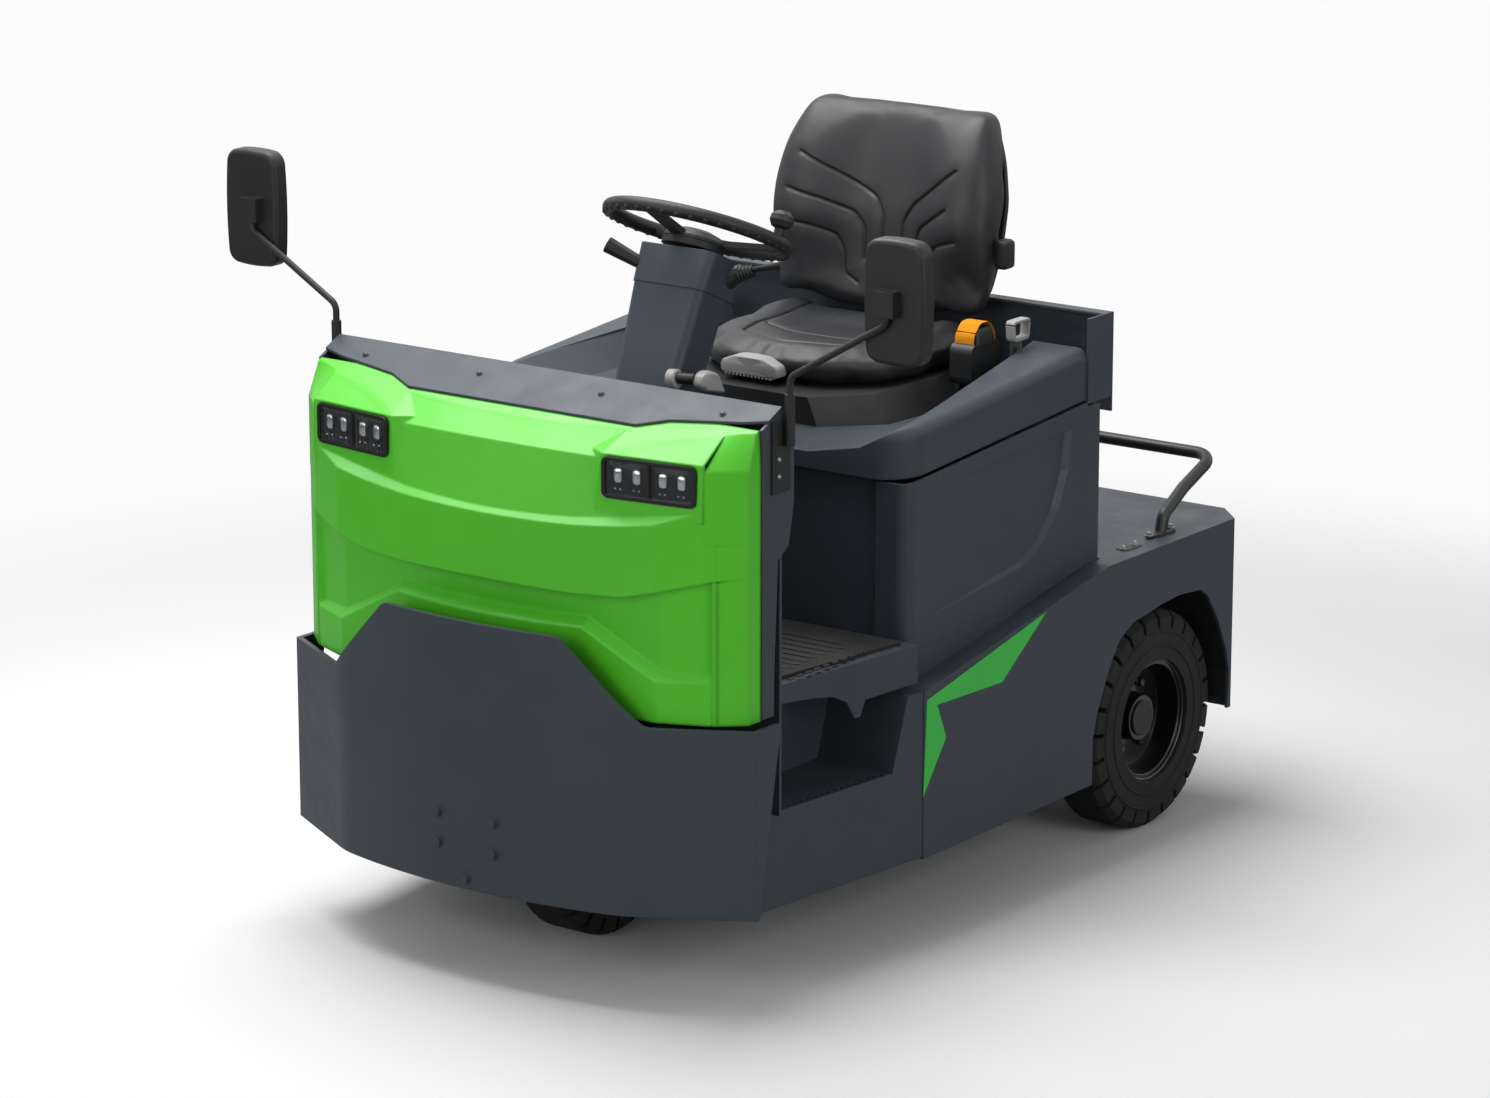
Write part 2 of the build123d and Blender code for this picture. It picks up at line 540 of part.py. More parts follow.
def pedals():
    """Brake and drive pedal: leaning pads whose arms hang on one shaft."""
    y0 = BULKHEAD_Y + PLATE
    top_y = y0 + PEDAL_REACH - 30
    ends = [x for x, _, _ in PEDALS]
    shape = cross_rod(min(ends) - 14, max(ends) + 14, y0 + 12, PEDAL_SHAFT_Z, 11)
    for x, half, z in PEDALS:
        shape += side_profile([(y0 + PEDAL_REACH, z - 45), (top_y, z + 45), (top_y - PEDAL_T, z + 45),
                               (y0 + PEDAL_REACH - PEDAL_T, z - 45)], x - half, x + half)
        shape += side_profile([(y0 + 2, PEDAL_SHAFT_Z), (y0 + 20, PEDAL_SHAFT_Z), (top_y + 8, z + 10),
                               (top_y + 8, z - 10)], x - 8, x + 8)
    return shape


# Side skirts with wheel arch, liners and the rear panel
SKIRT_FRONT_TOP = 463.0
SLOPE_END_Y = REAR_AXLE_Y - 210.0
SEAM_IN = 108.0              # deck's seam inside the skirt's face
SKIRT_IN_X = BODY_HALF - SEAM_IN
SKIRT_FOOT_Z = 152.0
CORNER_CUT = 58.0
ARCH_FRONT = -260.0          # front end of the arch, from the axle
# Wheel arch: y from the axle, z
ARCH = [(-257, 100), (-260, 240), (-245, 290), (-206, 366), (-173, 412), (-125, 437), (-28, 450),
        (36, 455), (115, 449), (144, 430), (183, 375), (215, 309), (228, 262), (220, 100)]
LINER_T = 3.0
LINER_IN_X = 372.0
DECK_FRONT_Y = BODY_REAR_Y + 51.0


def arch_face():
    """Side outline of the wheel arch."""
    return make_face(Polyline(*[(REAR_AXLE_Y + y, z) for y, z in ARCH], close=True))


def skirt_points(inset, spill):
    """Side outline of the skirt, moved in by inset, its foot lower by spill."""
    front_y, arch_y = FLOOR_REAR_Y + inset, REAR_AXLE_Y + ARCH_FRONT
    return [(front_y, SKIRT_FOOT_Z - spill), (front_y, SKIRT_FRONT_TOP - inset), (SLOPE_END_Y, DECK_Z - inset),
            (DECK_REAR_Y - inset, DECK_Z - inset), (REAR_FOOT_Y - inset, REAR_FOOT_Z - spill),
            (arch_y, REAR_FOOT_Z - spill), (arch_y, SKIRT_FOOT_Z - spill)]


def side_skirt():
    """Left skirt: plate with its top strip, front return and rear corner."""
    corner = plan_profile([(BODY_HALF + 1, DECK_REAR_Y - CORNER_CUT - 1), (BODY_HALF + 1, DECK_REAR_Y + 1),
                           (BODY_HALF - CORNER_CUT - 1, DECK_REAR_Y + 1)], 0, DECK_Z + 1)
    hollow = side_profile(skirt_points(PLATE, 1), SKIRT_IN_X - 1, SIDE_IN)
    hollow -= Pos(-PLATE, -PLATE, 0) * corner
    shell = side_profile(skirt_points(0, 0), SKIRT_IN_X, BODY_HALF) - corner - hollow
    shell -= extrude(Plane.YZ.offset(SKIRT_IN_X - 1) * arch_face(), SEAM_IN + 2)
    shell -= block(SKIRT_IN_X - 1, BATTERY_HALF + 2, FLOOR_REAR_Y - 1, DECK_FRONT_Y, 0, DECK_Z + 1)
    return shell - block(SKIRT_IN_X - 1, BODY_HALF - CORNER_CUT, DECK_REAR_Y - SEAM_IN, DECK_REAR_Y + 1, 0,
                         DECK_Z - PLATE)


def arch_liner():
    """Left inner lining of the wheel arch."""
    face = arch_face()
    ring = offset(face, LINER_T) - face
    strip = extrude(Plane.YZ.offset(LINER_IN_X) * ring, SIDE_IN - LINER_IN_X)
    return strip - block(0, BODY_HALF, REAR_AXLE_Y - WHEELBASE, REAR_AXLE_Y + WHEELBASE, 0, REAR_FOOT_Z + 20)


def rear_wall_y(z):
    """The rear wall's outer face at a height."""
    return REAR_FOOT_Y + REAR_LEAN * (z - REAR_FOOT_Z) / (DECK_Z - REAR_FOOT_Z)


def rear_panel():
    """Sloping rear wall between the skirts' corners."""
    half = BODY_HALF - CORNER_CUT
    top = DECK_Z - PLATE
    points = [(REAR_FOOT_Y, REAR_FOOT_Z), (rear_wall_y(top), top), (rear_wall_y(top) - REAR_PANEL_T, top),
              (REAR_FOOT_Y - REAR_PANEL_T, REAR_FOOT_Z)]
    return side_profile(points, -half, half)


def rear_deck():
    """Load deck between the skirts."""
    return block(-SKIRT_IN_X, SKIRT_IN_X, DECK_FRONT_Y, DECK_REAR_Y, DECK_Z - PLATE, DECK_Z)


# Handrail over the deck
RAIL_TUBE_R = 12.0
FLANGE_L = 80.0
FLANGE_W = 32.0
FLANGE_T = 5.0
# Left half of the tube's line: x in from the skirt's face, y ahead of the deck's rear edge, z over the deck
HANDRAIL_LINE = [(53, 242, 0), (54, 232, 34), (62, 150, 69), (65, 34, 111)]
HANDRAIL_BENDS = [20, 60, 40, 40, 60, 20]


def handrail():
    """Bent tube with an oval flange at each foot."""
    left = [(BODY_HALF - x, DECK_REAR_Y - y, DECK_Z + z) for x, y, z in HANDRAIL_LINE]
    points = left + [(-x, y, z) for x, y, z in reversed(left)]
    path = FilletPolyline(*points, radius=HANDRAIL_BENDS)
    tube = sweep(Plane(origin=points[0], z_dir=path % 0) * Circle(RAIL_TUBE_R), path=path)
    foot_x, foot_y = left[0][0], left[0][1]
    for x in (-foot_x, foot_x):
        tube += extrude(Pos(x, foot_y, DECK_Z) * Rot(0, 0, 90) * SlotOverall(FLANGE_L, FLANGE_W), FLANGE_T)
    return tube - block(-BODY_HALF, BODY_HALF, foot_y - FAR, foot_y + FAR, DECK_Z - FAR, DECK_Z)


# Battery body, lower back wall, battery and tray
SEAM_FRONT_Z = 831.0
SEAM_RISE = 0.0716           # the lid's seam climbs to the rear
BODY_CORNER = 26.0
PANEL_HALF = 402.0           # set-back panel in the body's front
PANEL_SET = 12.0
BACK_GAP = 42.0              # battery body's rear edge to the lower back wall's face
BACK_STEP_Z = 870.0
BATTERY_CLEAR = 30.0
BATTERY_TOP = 800.0
BATTERY_BLOCK_HALF = BATTERY_HALF - 70.0
FIXED_BACK_Y = BODY_REAR_Y + BACK_GAP
BODY_TALL = 1100.0           # over everything that the battery body and lid are cut from
POCKET_DEPTH = 11.0
POCKET_DRAFT = 16.0
# Floor of the recess in the body's side: y from the body's rear edge, z
POCKET_EDGE = [(-545, 800), (-62, 828), (-76, 757), (-108, 690), (-158, 643), (-215, 618), (-517, 582)]
POCKET_MIDDLE = (-300, 720)


def seam_z(y):
    """Height of the seam between battery body and lid."""
    return SEAM_FRONT_Z + SEAM_RISE * (y - BODY_FRONT_Y)


def body_plan(half, front_y, rear_y, corner, z0, z1):
    """Upright body with rounded front corners."""
    face = make_face(Polyline((half, rear_y), (half, front_y), (-half, front_y), (-half, rear_y), close=True))
    face = fillet(face.vertices().group_by(Axis.Y)[0], corner)
    return extrude(Pos(0, 0, z0) * face, z1 - z0)


def under_seam():
    """Everything below the seam."""
    y0, y1 = BODY_FRONT_Y - FAR, BODY_REAR_Y + FAR
    return side_profile([(y0, 0), (y1, 0), (y1, seam_z(y1)), (y0, seam_z(y0))], -BODY_HALF, BODY_HALF)


def side_pockets(inset):
    """Cutters of the side recesses, which deepen to the rear and have sloping ends."""
    middle_y, middle_z = POCKET_MIDDLE
    deep = BATTERY_HALF - POCKET_DEPTH - inset
    faces = []
    for x, draft in ((deep, 0), (BATTERY_HALF + 1 - inset, POCKET_DRAFT)):
        points = []
        for y, z in POCKET_EDGE:
            grow = 1 + (draft + inset / 2) / hypot(y - middle_y, z - middle_z)
            points.append((BODY_REAR_Y + middle_y + (y - middle_y) * grow, middle_z + (z - middle_z) * grow))
        faces.append(Plane.YZ.offset(x) * make_face(Polyline(*points, close=True)))
    front_y = BODY_REAR_Y + POCKET_EDGE[0][0]
    rear_y = BODY_REAR_Y + POCKET_EDGE[1][0]
    wedge = [(BATTERY_HALF - inset, front_y), (deep, rear_y), (deep, BODY_REAR_Y), (BATTERY_HALF + FAR, BODY_REAR_Y),
             (BATTERY_HALF + FAR, front_y)]
    cutter = loft(faces, ruled=True) & plan_profile(wedge, BODY_BOTTOM, BODY_TALL)
    return cutter + other_side(cutter)


def battery_body():
    """Fixed lower body, open on top, with a set-back front and a sculpted recess in each side."""
    outer = body_plan(BATTERY_HALF, BODY_FRONT_Y, BODY_REAR_Y, BODY_CORNER, BODY_BOTTOM, BODY_TALL)
    inner = body_plan(BATTERY_HALF - SHEET, BODY_FRONT_Y + SHEET, BODY_REAR_Y + FAR, BODY_CORNER - SHEET,
                      BODY_BOTTOM - 1, BODY_TALL + 1)
    panel_y = BODY_FRONT_Y + PANEL_SET
    panel_in = PANEL_HALF + SHEET
    outer -= block(-PANEL_HALF, PANEL_HALF, BODY_FRONT_Y - FAR, panel_y, 0, BODY_TALL + 1)
    inner -= block(-panel_in, panel_in, BODY_FRONT_Y - FAR, panel_y + SHEET, 0, BODY_TALL + 2)
    shell = (outer - side_pockets(0)) - (inner - side_pockets(SHEET))
    return shell & under_seam()


def lower_back():
    """Folded sheet wall behind the battery, dipped where the seat's floor swings over it."""
    half = BATTERY_HALF
    wall = block(-half, half, BODY_REAR_Y, FIXED_BACK_Y, BODY_BOTTOM, BACK_STEP_Z - LID_GAP)
    wall -= block(SHEET - half, half - SHEET, BODY_REAR_Y - 1, FIXED_BACK_Y - SHEET, BODY_BOTTOM - 1, BACK_STEP_Z)
    swing = SADDLE_Z - SADDLE_T - HINGE_Z - LID_GAP
    dip_z = HINGE_Z + sqrt(swing ** 2 - (HINGE_Y - FIXED_BACK_Y) ** 2)
    dip_half = SADDLE_REAR[0][0] + 2 * SADDLE_T
    return wall - block(-dip_half, dip_half, BODY_REAR_Y - 1, FIXED_BACK_Y + 1, dip_z, BACK_STEP_Z)


def battery():
    """Battery and its crate as one plain block."""
    return block(-BATTERY_BLOCK_HALF, BATTERY_BLOCK_HALF, BODY_FRONT_Y + BATTERY_CLEAR, BODY_REAR_Y - BATTERY_CLEAR,
                 BODY_BOTTOM, BATTERY_TOP)


def battery_tray():
    """Plate on the rails that carries the battery and its walls."""
    return block(-BATTERY_HALF, BATTERY_HALF, BODY_FRONT_Y, FIXED_BACK_Y, TRAY_BOTTOM, BODY_BOTTOM)


# Lid: carries the seat and hinges at its foot behind the battery
LID_GAP = 5.0
LID_TOP_FRONT = 926.0
LID_TOP_RISE = 0.082
LID_HALF = BATTERY_HALF - 4.0
LID_CORNER = 70.0
LID_FRONT_Y = BODY_FRONT_Y - 9.0
LID_T = 7.0
LID_ROUND = 22.0             # rounding of the shoulders
SADDLE_Z = 866.0             # floor between the shoulders, where the seat stands
SADDLE_T = 7.0
# Half of the space between the shoulders, at the lid's front and rear: x, z
SADDLE_FRONT = [(260, SADDLE_Z), (372, 888), (452, 930), (480, BODY_TALL)]
SADDLE_REAR = [(300, SADDLE_Z), (328, 900), (348, 960), (352, BODY_TALL)]
PANEL_T = 5.0                # back panel's sheet
PANEL_DEPTH = 84.0           # back panel box, fore and aft
PANEL_FLANGE = 28.0
LID_BACK_REAR_Y = BODY_REAR_Y + PANEL_DEPTH
LID_BACK_TOP = 1030.0
BACK_LIP_Z = 842.0           # the back panel's lower edge, below the dip of the wall behind it
HINGE_Y = FIXED_BACK_Y + 27.0
HINGE_Z = 604.0
HINGE_PIN_R = 9.0
HINGE_EYE_R = 18.0
EAR_T = 8.0
EAR_GAP = 4.0
HINGE_ARMS = [-250.0, 210.0]  # inner x of each hinge arm
HINGE_ARM_W = 40.0


def lid_top_z(y):
    """Height of the lid's shoulder."""
    return LID_TOP_FRONT + LID_TOP_RISE * (y - BODY_FRONT_Y)


def saddle(grow):
    """The space over the lid between its shoulders, grown on every side."""
    faces = []
    for y, section in ((LID_FRONT_Y - 1, SADDLE_FRONT), (BODY_REAR_Y + 1, SADDLE_REAR)):
        points = both_sides([(x + grow, z - grow if z < BODY_TALL else z) for x, z in section])
        faces.append(Plane.XZ.offset(-y) * make_face(Polyline(*points, close=True)))
    return loft(faces, ruled=True)


def lid_block(inset, drop):
    """The lid's shoulders as one solid, moved in by inset, its foot lower by drop."""
    shape = body_plan(LID_HALF - inset, LID_FRONT_Y + inset, BODY_REAR_Y - inset, LID_CORNER - inset,
                      BODY_BOTTOM, BODY_TALL)
    y0, y1 = BODY_FRONT_Y - FAR, BODY_REAR_Y + FAR
    shape &= side_profile([(y0, seam_z(y0) + LID_GAP - drop), (y1, seam_z(y1) + LID_GAP - drop),
                           (y1, lid_top_z(y1) - inset), (y0, lid_top_z(y0) - inset)], -BODY_HALF, BODY_HALF)
    low = lid_top_z(BODY_FRONT_Y) - inset - 10
    top_edges = shape.edges().filter_by(lambda e: e.center().Z > low and e.center().Y < BODY_REAR_Y - inset - 5)
    return fillet(top_edges, LID_ROUND - inset)


def back_panel():
    """Upright box behind the seat, open to the front, with a flange along its top."""
    half, inner = BATTERY_HALF, BATTERY_HALF - PANEL_T
    y0, y1 = BODY_REAR_Y, LID_BACK_REAR_Y
    shape = block(-half, half, y0, y1, BACK_STEP_Z, LID_BACK_TOP)
    shape -= block(-inner, inner, y0 - 1, y1 - PANEL_T, BACK_STEP_Z - 1, LID_BACK_TOP - PANEL_T)
    shape -= block(-inner, inner, y0 - 1, y1 - PANEL_FLANGE, BACK_STEP_Z, LID_BACK_TOP + 1)
    return shape + block(-half, half, y1 - PANEL_T, y1, BACK_LIP_Z, BACK_STEP_Z)


def hood():
    """Lid with raised shoulders, its back panel and two hinge arms."""
    shape = lid_block(0, 0) - saddle(0) - (lid_block(LID_T, FAR) - saddle(SADDLE_T))
    floor_half = SADDLE_REAR[0][0]
    shape += block(-floor_half, floor_half, BODY_REAR_Y - LID_T, LID_BACK_REAR_Y - PANEL_T, SADDLE_Z - SADDLE_T, SADDLE_Z)
    shape += back_panel()
    front_y = FIXED_BACK_Y + LID_GAP
    top_z = SADDLE_Z - SADDLE_T / 2
    for x in HINGE_ARMS:
        shape += block(x, x + HINGE_ARM_W, front_y, LID_BACK_REAR_Y, HINGE_Z, top_z)
        shape += cross_rod(x, x + HINGE_ARM_W, HINGE_Y, HINGE_Z, HINGE_EYE_R)
        shape -= cross_rod(x - 1, x + HINGE_ARM_W + 1, HINGE_Y, HINGE_Z, HINGE_PIN_R + RUNNING_GAP)
    return shape


def hinge_bracket(x):
    """Two ears on the lower back wall, with the pin that carries one arm of the lid."""
    eye = HINGE_EYE_R - 2
    left, right = x - EAR_GAP - EAR_T, x + HINGE_ARM_W + EAR_GAP
    shape = cross_rod(left, right + EAR_T, HINGE_Y, HINGE_Z, HINGE_PIN_R)
    for ear_x in (left, right):
        shape += block(ear_x, ear_x + EAR_T, FIXED_BACK_Y, HINGE_Y, HINGE_Z - eye, HINGE_Z + eye)
        shape += cross_rod(ear_x, ear_x + EAR_T, HINGE_Y, HINGE_Z, eye)
    return shape


# Seat: places along y are measured from the battery body's rear edge
BASE_HALF = 271.0
BASE_TOP_HALF = 236.0
# Seat base from above: share of its half width, y
BASE_PLAN = [(0.60, -431), (0.95, -336), (1.0, -150), (0.8, 10)]
# Cushion from above: x, y
CUSHION_PLAN = [(118, -390), (224, -298), (242, -228), (242, 0)]
CUSHION_PLAN_R = 38.0
CUSHION_BOTTOM = 918.0
CUSHION_TOP = 984.0
CUSHION_ROUND = 22.0
BACK_BOTTOM = CUSHION_TOP + RUNNING_GAP
BACK_TOP = 1384.0
BACK_TROUGH_HALF = 150.0
# Backrest from the side: z, y of the bolsters' front, y of the middle's front, y of the shell's back
BACK_LINE = [(BACK_BOTTOM, -46, -40, 32), (1058, -33, 0, 62), (1166, -58, 11, 92), (1285, -37, 50, 118),
             (1350, 0, 74, 132), (BACK_TOP, 56, 86, 124)]
# Backrest from the front: x, z
BACK_FRONT = [(236, BACK_BOTTOM - 1), (250, 1120), (244, 1240), (220, 1350), (188, BACK_TOP + 1)]


def seat_base():
    """Suspension housing under the cushion, wider at its foot."""
    faces = []
    for half, z in ((BASE_HALF, SADDLE_Z), (BASE_TOP_HALF, CUSHION_BOTTOM - RUNNING_GAP)):
        points = both_sides([(half * share, BODY_REAR_Y + y) for share, y in BASE_PLAN])
        faces.append(Pos(0, 0, z) * make_face(Polyline(*points, close=True)))
    return loft(faces, ruled=True)


def seat_cushion():
    """Cushion with a bowed front and rounded top edges."""
    points = both_sides([(x, BODY_REAR_Y + y) for x, y in CUSHION_PLAN])
    shape = plan_profile(points, CUSHION_BOTTOM, CUSHION_TOP, radius=CUSHION_PLAN_R)
    return fillet(shape.edges().group_by(Axis.Z)[-1], CUSHION_ROUND)


def seat_back():
    """Backrest, leaning back, with side bolsters round a hollow middle."""
    bolster = [(BODY_REAR_Y + front, z) for z, front, _, _ in BACK_LINE]
    middle = [(BODY_REAR_Y + front, z) for z, _, front, _ in BACK_LINE]
    rear = [(BODY_REAR_Y + back, z) for z, _, _, back in BACK_LINE]
    widest = max(x for x, _ in BACK_FRONT)
    ahead_y = BODY_REAR_Y - 2 * FAR
    shape = side_profile(bolster + rear[::-1], -widest, widest)
    shape &= front_profile(both_sides(BACK_FRONT), ahead_y, BODY_REAR_Y + 3 * FAR)
    return shape - side_profile(middle + [(ahead_y, BACK_TOP), (ahead_y, BACK_BOTTOM)],
                                -BACK_TROUGH_HALF, BACK_TROUGH_HALF)


RETRACTOR_X = (276.0, 324.0)
RETRACTOR_Y = (-170.0, -74.0)
RETRACTOR_Z = (912.0, 990.0)


def belt_retractor():
    """Belt reel housing on a foot beside the seat base."""
    x0, x1 = RETRACTOR_X
    y0, y1 = (BODY_REAR_Y + y for y in RETRACTOR_Y)
    foot = block(x0 - 2, x0 + 8, y0 + 20, y1 - 20, SADDLE_Z, RETRACTOR_Z[1] - 40)
    reel = block(x0, x1, y0, y1, *RETRACTOR_Z)
    return foot + fillet(reel.edges().filter_by(Axis.X), 18)


# Wheels: the tyres' flats match their lugs, so that the treads stay light
REAR_TYRE_R = 212.0
REAR_TYRE_W = 112.0
REAR_WHEEL_X = 433.0
REAR_RIM_R = 118.0
REAR_DISH = -8.0             # wheel disc, from the wheel's middle
FRONT_TYRE_R = 190.0
FRONT_TYRE_W = 114.0
FRONT_RIM_R = 108.0
REAR_HUB_R = 34.0
FRONT_SHAFT_R = 20.0
LUGS = 24                    # tread blocks round each shoulder
TYRE_FLATS = 2 * LUGS
GROOVE_W = 9.0
GROOVE_DEPTH = 34.0          # down the side wall
GROOVE_RUN = 30.0            # in across the tread
# Half of a tyre's section from its bead out: x in from the side wall, radius over the rim
BEAD = [(12, 0), (0, 46)]
# and from its tread in: x in from the side wall, radius under the tread
SHOULDER = [(3, 12), (16, 0)]
RIM_EDGE = 10.0
RIM_LIP = 10.0
NUTS = 6
NUT_R = 8.0
NUT_CIRCLE_R = 68.0


def wheel_ring(x0, radius0, x1, radius1):
    """A many-sided frustum along the axle."""
    faces = [Plane.YZ.offset(x) * RegularPolygon(radius, TYRE_FLATS) for x, radius in ((x0, radius0), (x1, radius1))]
    return loft(faces, ruled=True)


def tyre(radius, width, rim_radius):
    """Solid tyre with grooves between the lugs of each shoulder."""
    half = width / 2
    side = [(-half + x, rim_radius + r) for x, r in BEAD] + [(-half + x, radius - r) for x, r in SHOULDER]
    section = side + [(-x, r) for x, r in reversed(side)]
    shape = wheel_ring(*section[0], *section[-1])
    for (x0, r0), (x1, r1) in zip(section, section[1:]):
        shape += wheel_ring(x0, r0, x1, r1)
    shape -= wheel_ring(-width, rim_radius, width, rim_radius)
    for index in range(2 * LUGS):
        turn = 180 * (index + 0.5) / LUGS
        x0, x1 = (half - GROOVE_RUN, half + 1) if index % 2 else (-half - 1, GROOVE_RUN - half)
        shape -= Rot(turn, 0, 0) * block(x0, x1, -GROOVE_W / 2, GROOVE_W / 2, radius - GROOVE_DEPTH, radius + 1)
    return shape


def rim(rim_radius, width, bore, dish):
    """Pressed rim with a dished disc, a hub and its nuts."""
    half = width / 2 - RIM_EDGE
    seat = rim_radius * cos(pi / TYRE_FLATS)
    hub_x = half - 20
    profile = [(-half, seat - RIM_LIP), (-half, seat), (half, seat), (half, seat - RIM_LIP),
               (dish + 6, seat - RIM_LIP - 6), (dish + 6, bore + 13), (hub_x, bore + 9), (hub_x, bore),
               (dish - 6, bore), (dish - 6, seat - RIM_LIP - 6)]
    shape = revolve(Plane.XY * make_face(Polyline(*profile, close=True)), axis=Axis.X)
    for index in range(NUTS):
        angle = 2 * pi * index / NUTS
        place = Pos(NUT_CIRCLE_R * cos(angle), NUT_CIRCLE_R * sin(angle))
        shape += extrude(Plane.YZ.offset(dish + 5) * (place * RegularPolygon(NUT_R, 6)), 11)
    return shape


def rear_axle():
    """Axle beam with motor and stub shafts, carried under the rails."""
    y, z = REAR_AXLE_Y, REAR_TYRE_R
    beam_half = REAR_WHEEL_X - REAR_TYRE_W / 2 - 5
    shaft_half = REAR_WHEEL_X + REAR_TYRE_W / 2 - 26
    beam = cross_rod(-beam_half, beam_half, y, z, 58) + cross_rod(-90, 150, y, z, 112)
    beam += cross_rod(-shaft_half, shaft_half, y, z, REAR_HUB_R)
    for x in (-RAIL_OUT, RAIL_IN):
        beam += block(x, x + RAIL_W, y - 60, y + 60, z, RAIL_BOTTOM)
    return beam


# Steered fork of the front wheel
FORK_DROP = 5.0              # running gap under the head plate
FORK_TOP = RAIL_TOP - TURNTABLE_T - FORK_DROP
FORK_CLEAR = 12.0            # tyre to leg
FORK_LEG_T = 22.0


def steering_fork():
    """Steered fork: stem, crown and two legs."""
    y = FRONT_AXLE_Y
    shape = upright_rod(0, y, FORK_TOP - 30, RAIL_TOP + 30, STEM_R) + upright_rod(0, y, FORK_TOP - 60, FORK_TOP, 120)
    leg_in = FRONT_TYRE_W / 2 + FORK_CLEAR
    leg = side_profile([(y - 38, FRONT_TYRE_R - 34), (y + 38, FRONT_TYRE_R - 34), (y + 75, FORK_TOP - 30),
                        (y - 75, FORK_TOP - 30)], leg_in, leg_in + FORK_LEG_T)
    shaft_half = leg_in + FORK_LEG_T + 8
    return shape + leg + other_side(leg) + cross_rod(-shaft_half, shaft_half, y, FRONT_TYRE_R, FRONT_SHAFT_R)


# Steering column and wheel
COLUMN_LEAN = 24.0
HUB_CENTRE = (0, 457, 1236)
PIVOT_DROP = 345.0           # tilt pin below the hub, along the column
WHEEL_R = 175.0
WHEEL_TUBE_R = 13.0
COLUMN_TOP = 46.0            # housing's top below the wheel
COLUMN_STEP = 118.0          # where the housing's head ends below the wheel
COLUMN_FOOT = 385.0
COLUMN_ROUND = 20.0
SHAFT_R = 12.0
SHAFT_TOP = -36.0
SHAFT_END = -81.0
SPOKES = (30, 150, 270)
# Sections of the housing: distance below the wheel, width, depth, shift to the rear
COLUMN_HEAD = [(COLUMN_TOP, 168, 112, 4), (COLUMN_STEP, 160, 116, 4)]
COLUMN_STEM = [(COLUMN_STEP - 16, 158, 98, -4), (COLUMN_FOOT, 126, 96, 0)]
# Steering wheel's boss: radius, height over the wheel's plane
BOSS = [(0, -3), (28, -4), (46, -10), (56, -20), (57, -26), (55, -26), (55, -28), (57, -28), (57, -39), (0, -39)]
# Spoke from the side: distance from the hub, height
SPOKE = [(47, -26), (47, -14), (WHEEL_R - WHEEL_TUBE_R, 4), (WHEEL_R - WHEEL_TUBE_R, -6)]
SPOKE_HALF = 13.0
# Spinner knob: radius, height over the rim's middle
KNOB = [(0, 10), (9, 10), (9, 24), (17, 28), (22, 38), (21, 48), (12, 56), (0, 58)]
KNOB_ANGLE = 8.0


def column_plane(distance, shift=0.0):
    """Plane square to the column, a distance below the wheel's hub and shifted to the rear."""
    lean = radians(COLUMN_LEAN)
    x, y, z = HUB_CENTRE
    return Plane(origin=(x, y - distance * sin(lean) + shift * cos(lean), z - distance * cos(lean) - shift * sin(lean)),
                 x_dir=(1, 0, 0), z_dir=(0, sin(lean), cos(lean)))


COLUMN_PIVOT = column_plane(PIVOT_DROP).origin
CHEEK_X = COLUMN_STEM[1][1] / 2 + 14.0
CHEEK_T = 12.0
WEB_Z = (700.0, 720.0)
CONSOLE_TOP = 800.0


def column_part(sections):
    """Tapered block through two sections, its long edges rounded."""
    faces = [column_plane(distance, shift) * Rectangle(width, depth) for distance, width, depth, shift in sections]
    shape = loft(faces[::-1], ruled=True)
    axis = column_plane(0).z_dir
    return fillet(shape.edges().filter_by(lambda e: abs((e % 0.5).dot(axis)) > 0.9), COLUMN_ROUND)


def column_housing():
    """Tapered housing that tilts on a pin in the console."""
    x, y, z = COLUMN_PIVOT
    shape = column_part(COLUMN_HEAD) + column_part(COLUMN_STEM)
    shape -= column_plane(0) * (Pos(0, 0, SHAFT_END / 2 - 3) * Cylinder(SHAFT_R + RUNNING_GAP, -SHAFT_END + 6))
    return shape - cross_rod(-2 * FAR, 2 * FAR, y, z, HINGE_PIN_R + RUNNING_GAP)


def column_console():
    """Fixed console under the column, with two cheeks and the tilt pin."""
    x, y, z = COLUMN_PIVOT
    y0 = BULKHEAD_Y + PLATE
    low = block(-CONSOLE_HALF, CONSOLE_HALF, y0, CONSOLE_REAR_Y, FLOOR_Z, CONSOLE_TOP)
    low = fillet(low.edges().filter_by(Axis.Z).group_by(Axis.Y)[-1], 20)
    cheek = side_profile([(y0, WEB_Z[0]), (CONSOLE_REAR_Y - 20, WEB_Z[0]), (y + 25, z - 25), (y + 25, z + 25),
                          (y - 25, z + 25), (y0, 860)], CHEEK_X, CHEEK_X + CHEEK_T)
    half = CHEEK_X + CHEEK_T
    web = block(-half, half, y0, CONSOLE_REAR_Y - 40, *WEB_Z)
    return low + cheek + other_side(cheek) + web + cross_rod(-half, half, y, z, HINGE_PIN_R)


# Levers on the column: each a run of x, y, z points with the radius at each
SWITCH_STALK = [((-66, 388, 1172), 11), ((-132, 364, 1206), 15)]
TRAVEL_LEVER = [((70, 452, 1156), 24), ((98, 464, 1168), 14), ((98, 464, 1168), 5), ((196, 446, 1194), 7)]
TILT_STUB = [((58, 300, 996), 11), ((108, 304, 1000), 11)]
PADDLE = [(296, 992), (318, 1014), (352, 1004), (372, 966), (344, 972), (316, 980)]   # tilt lever: y, z
PADDLE_X = (104.0, 130.0)
LEVER_FLATS = 12


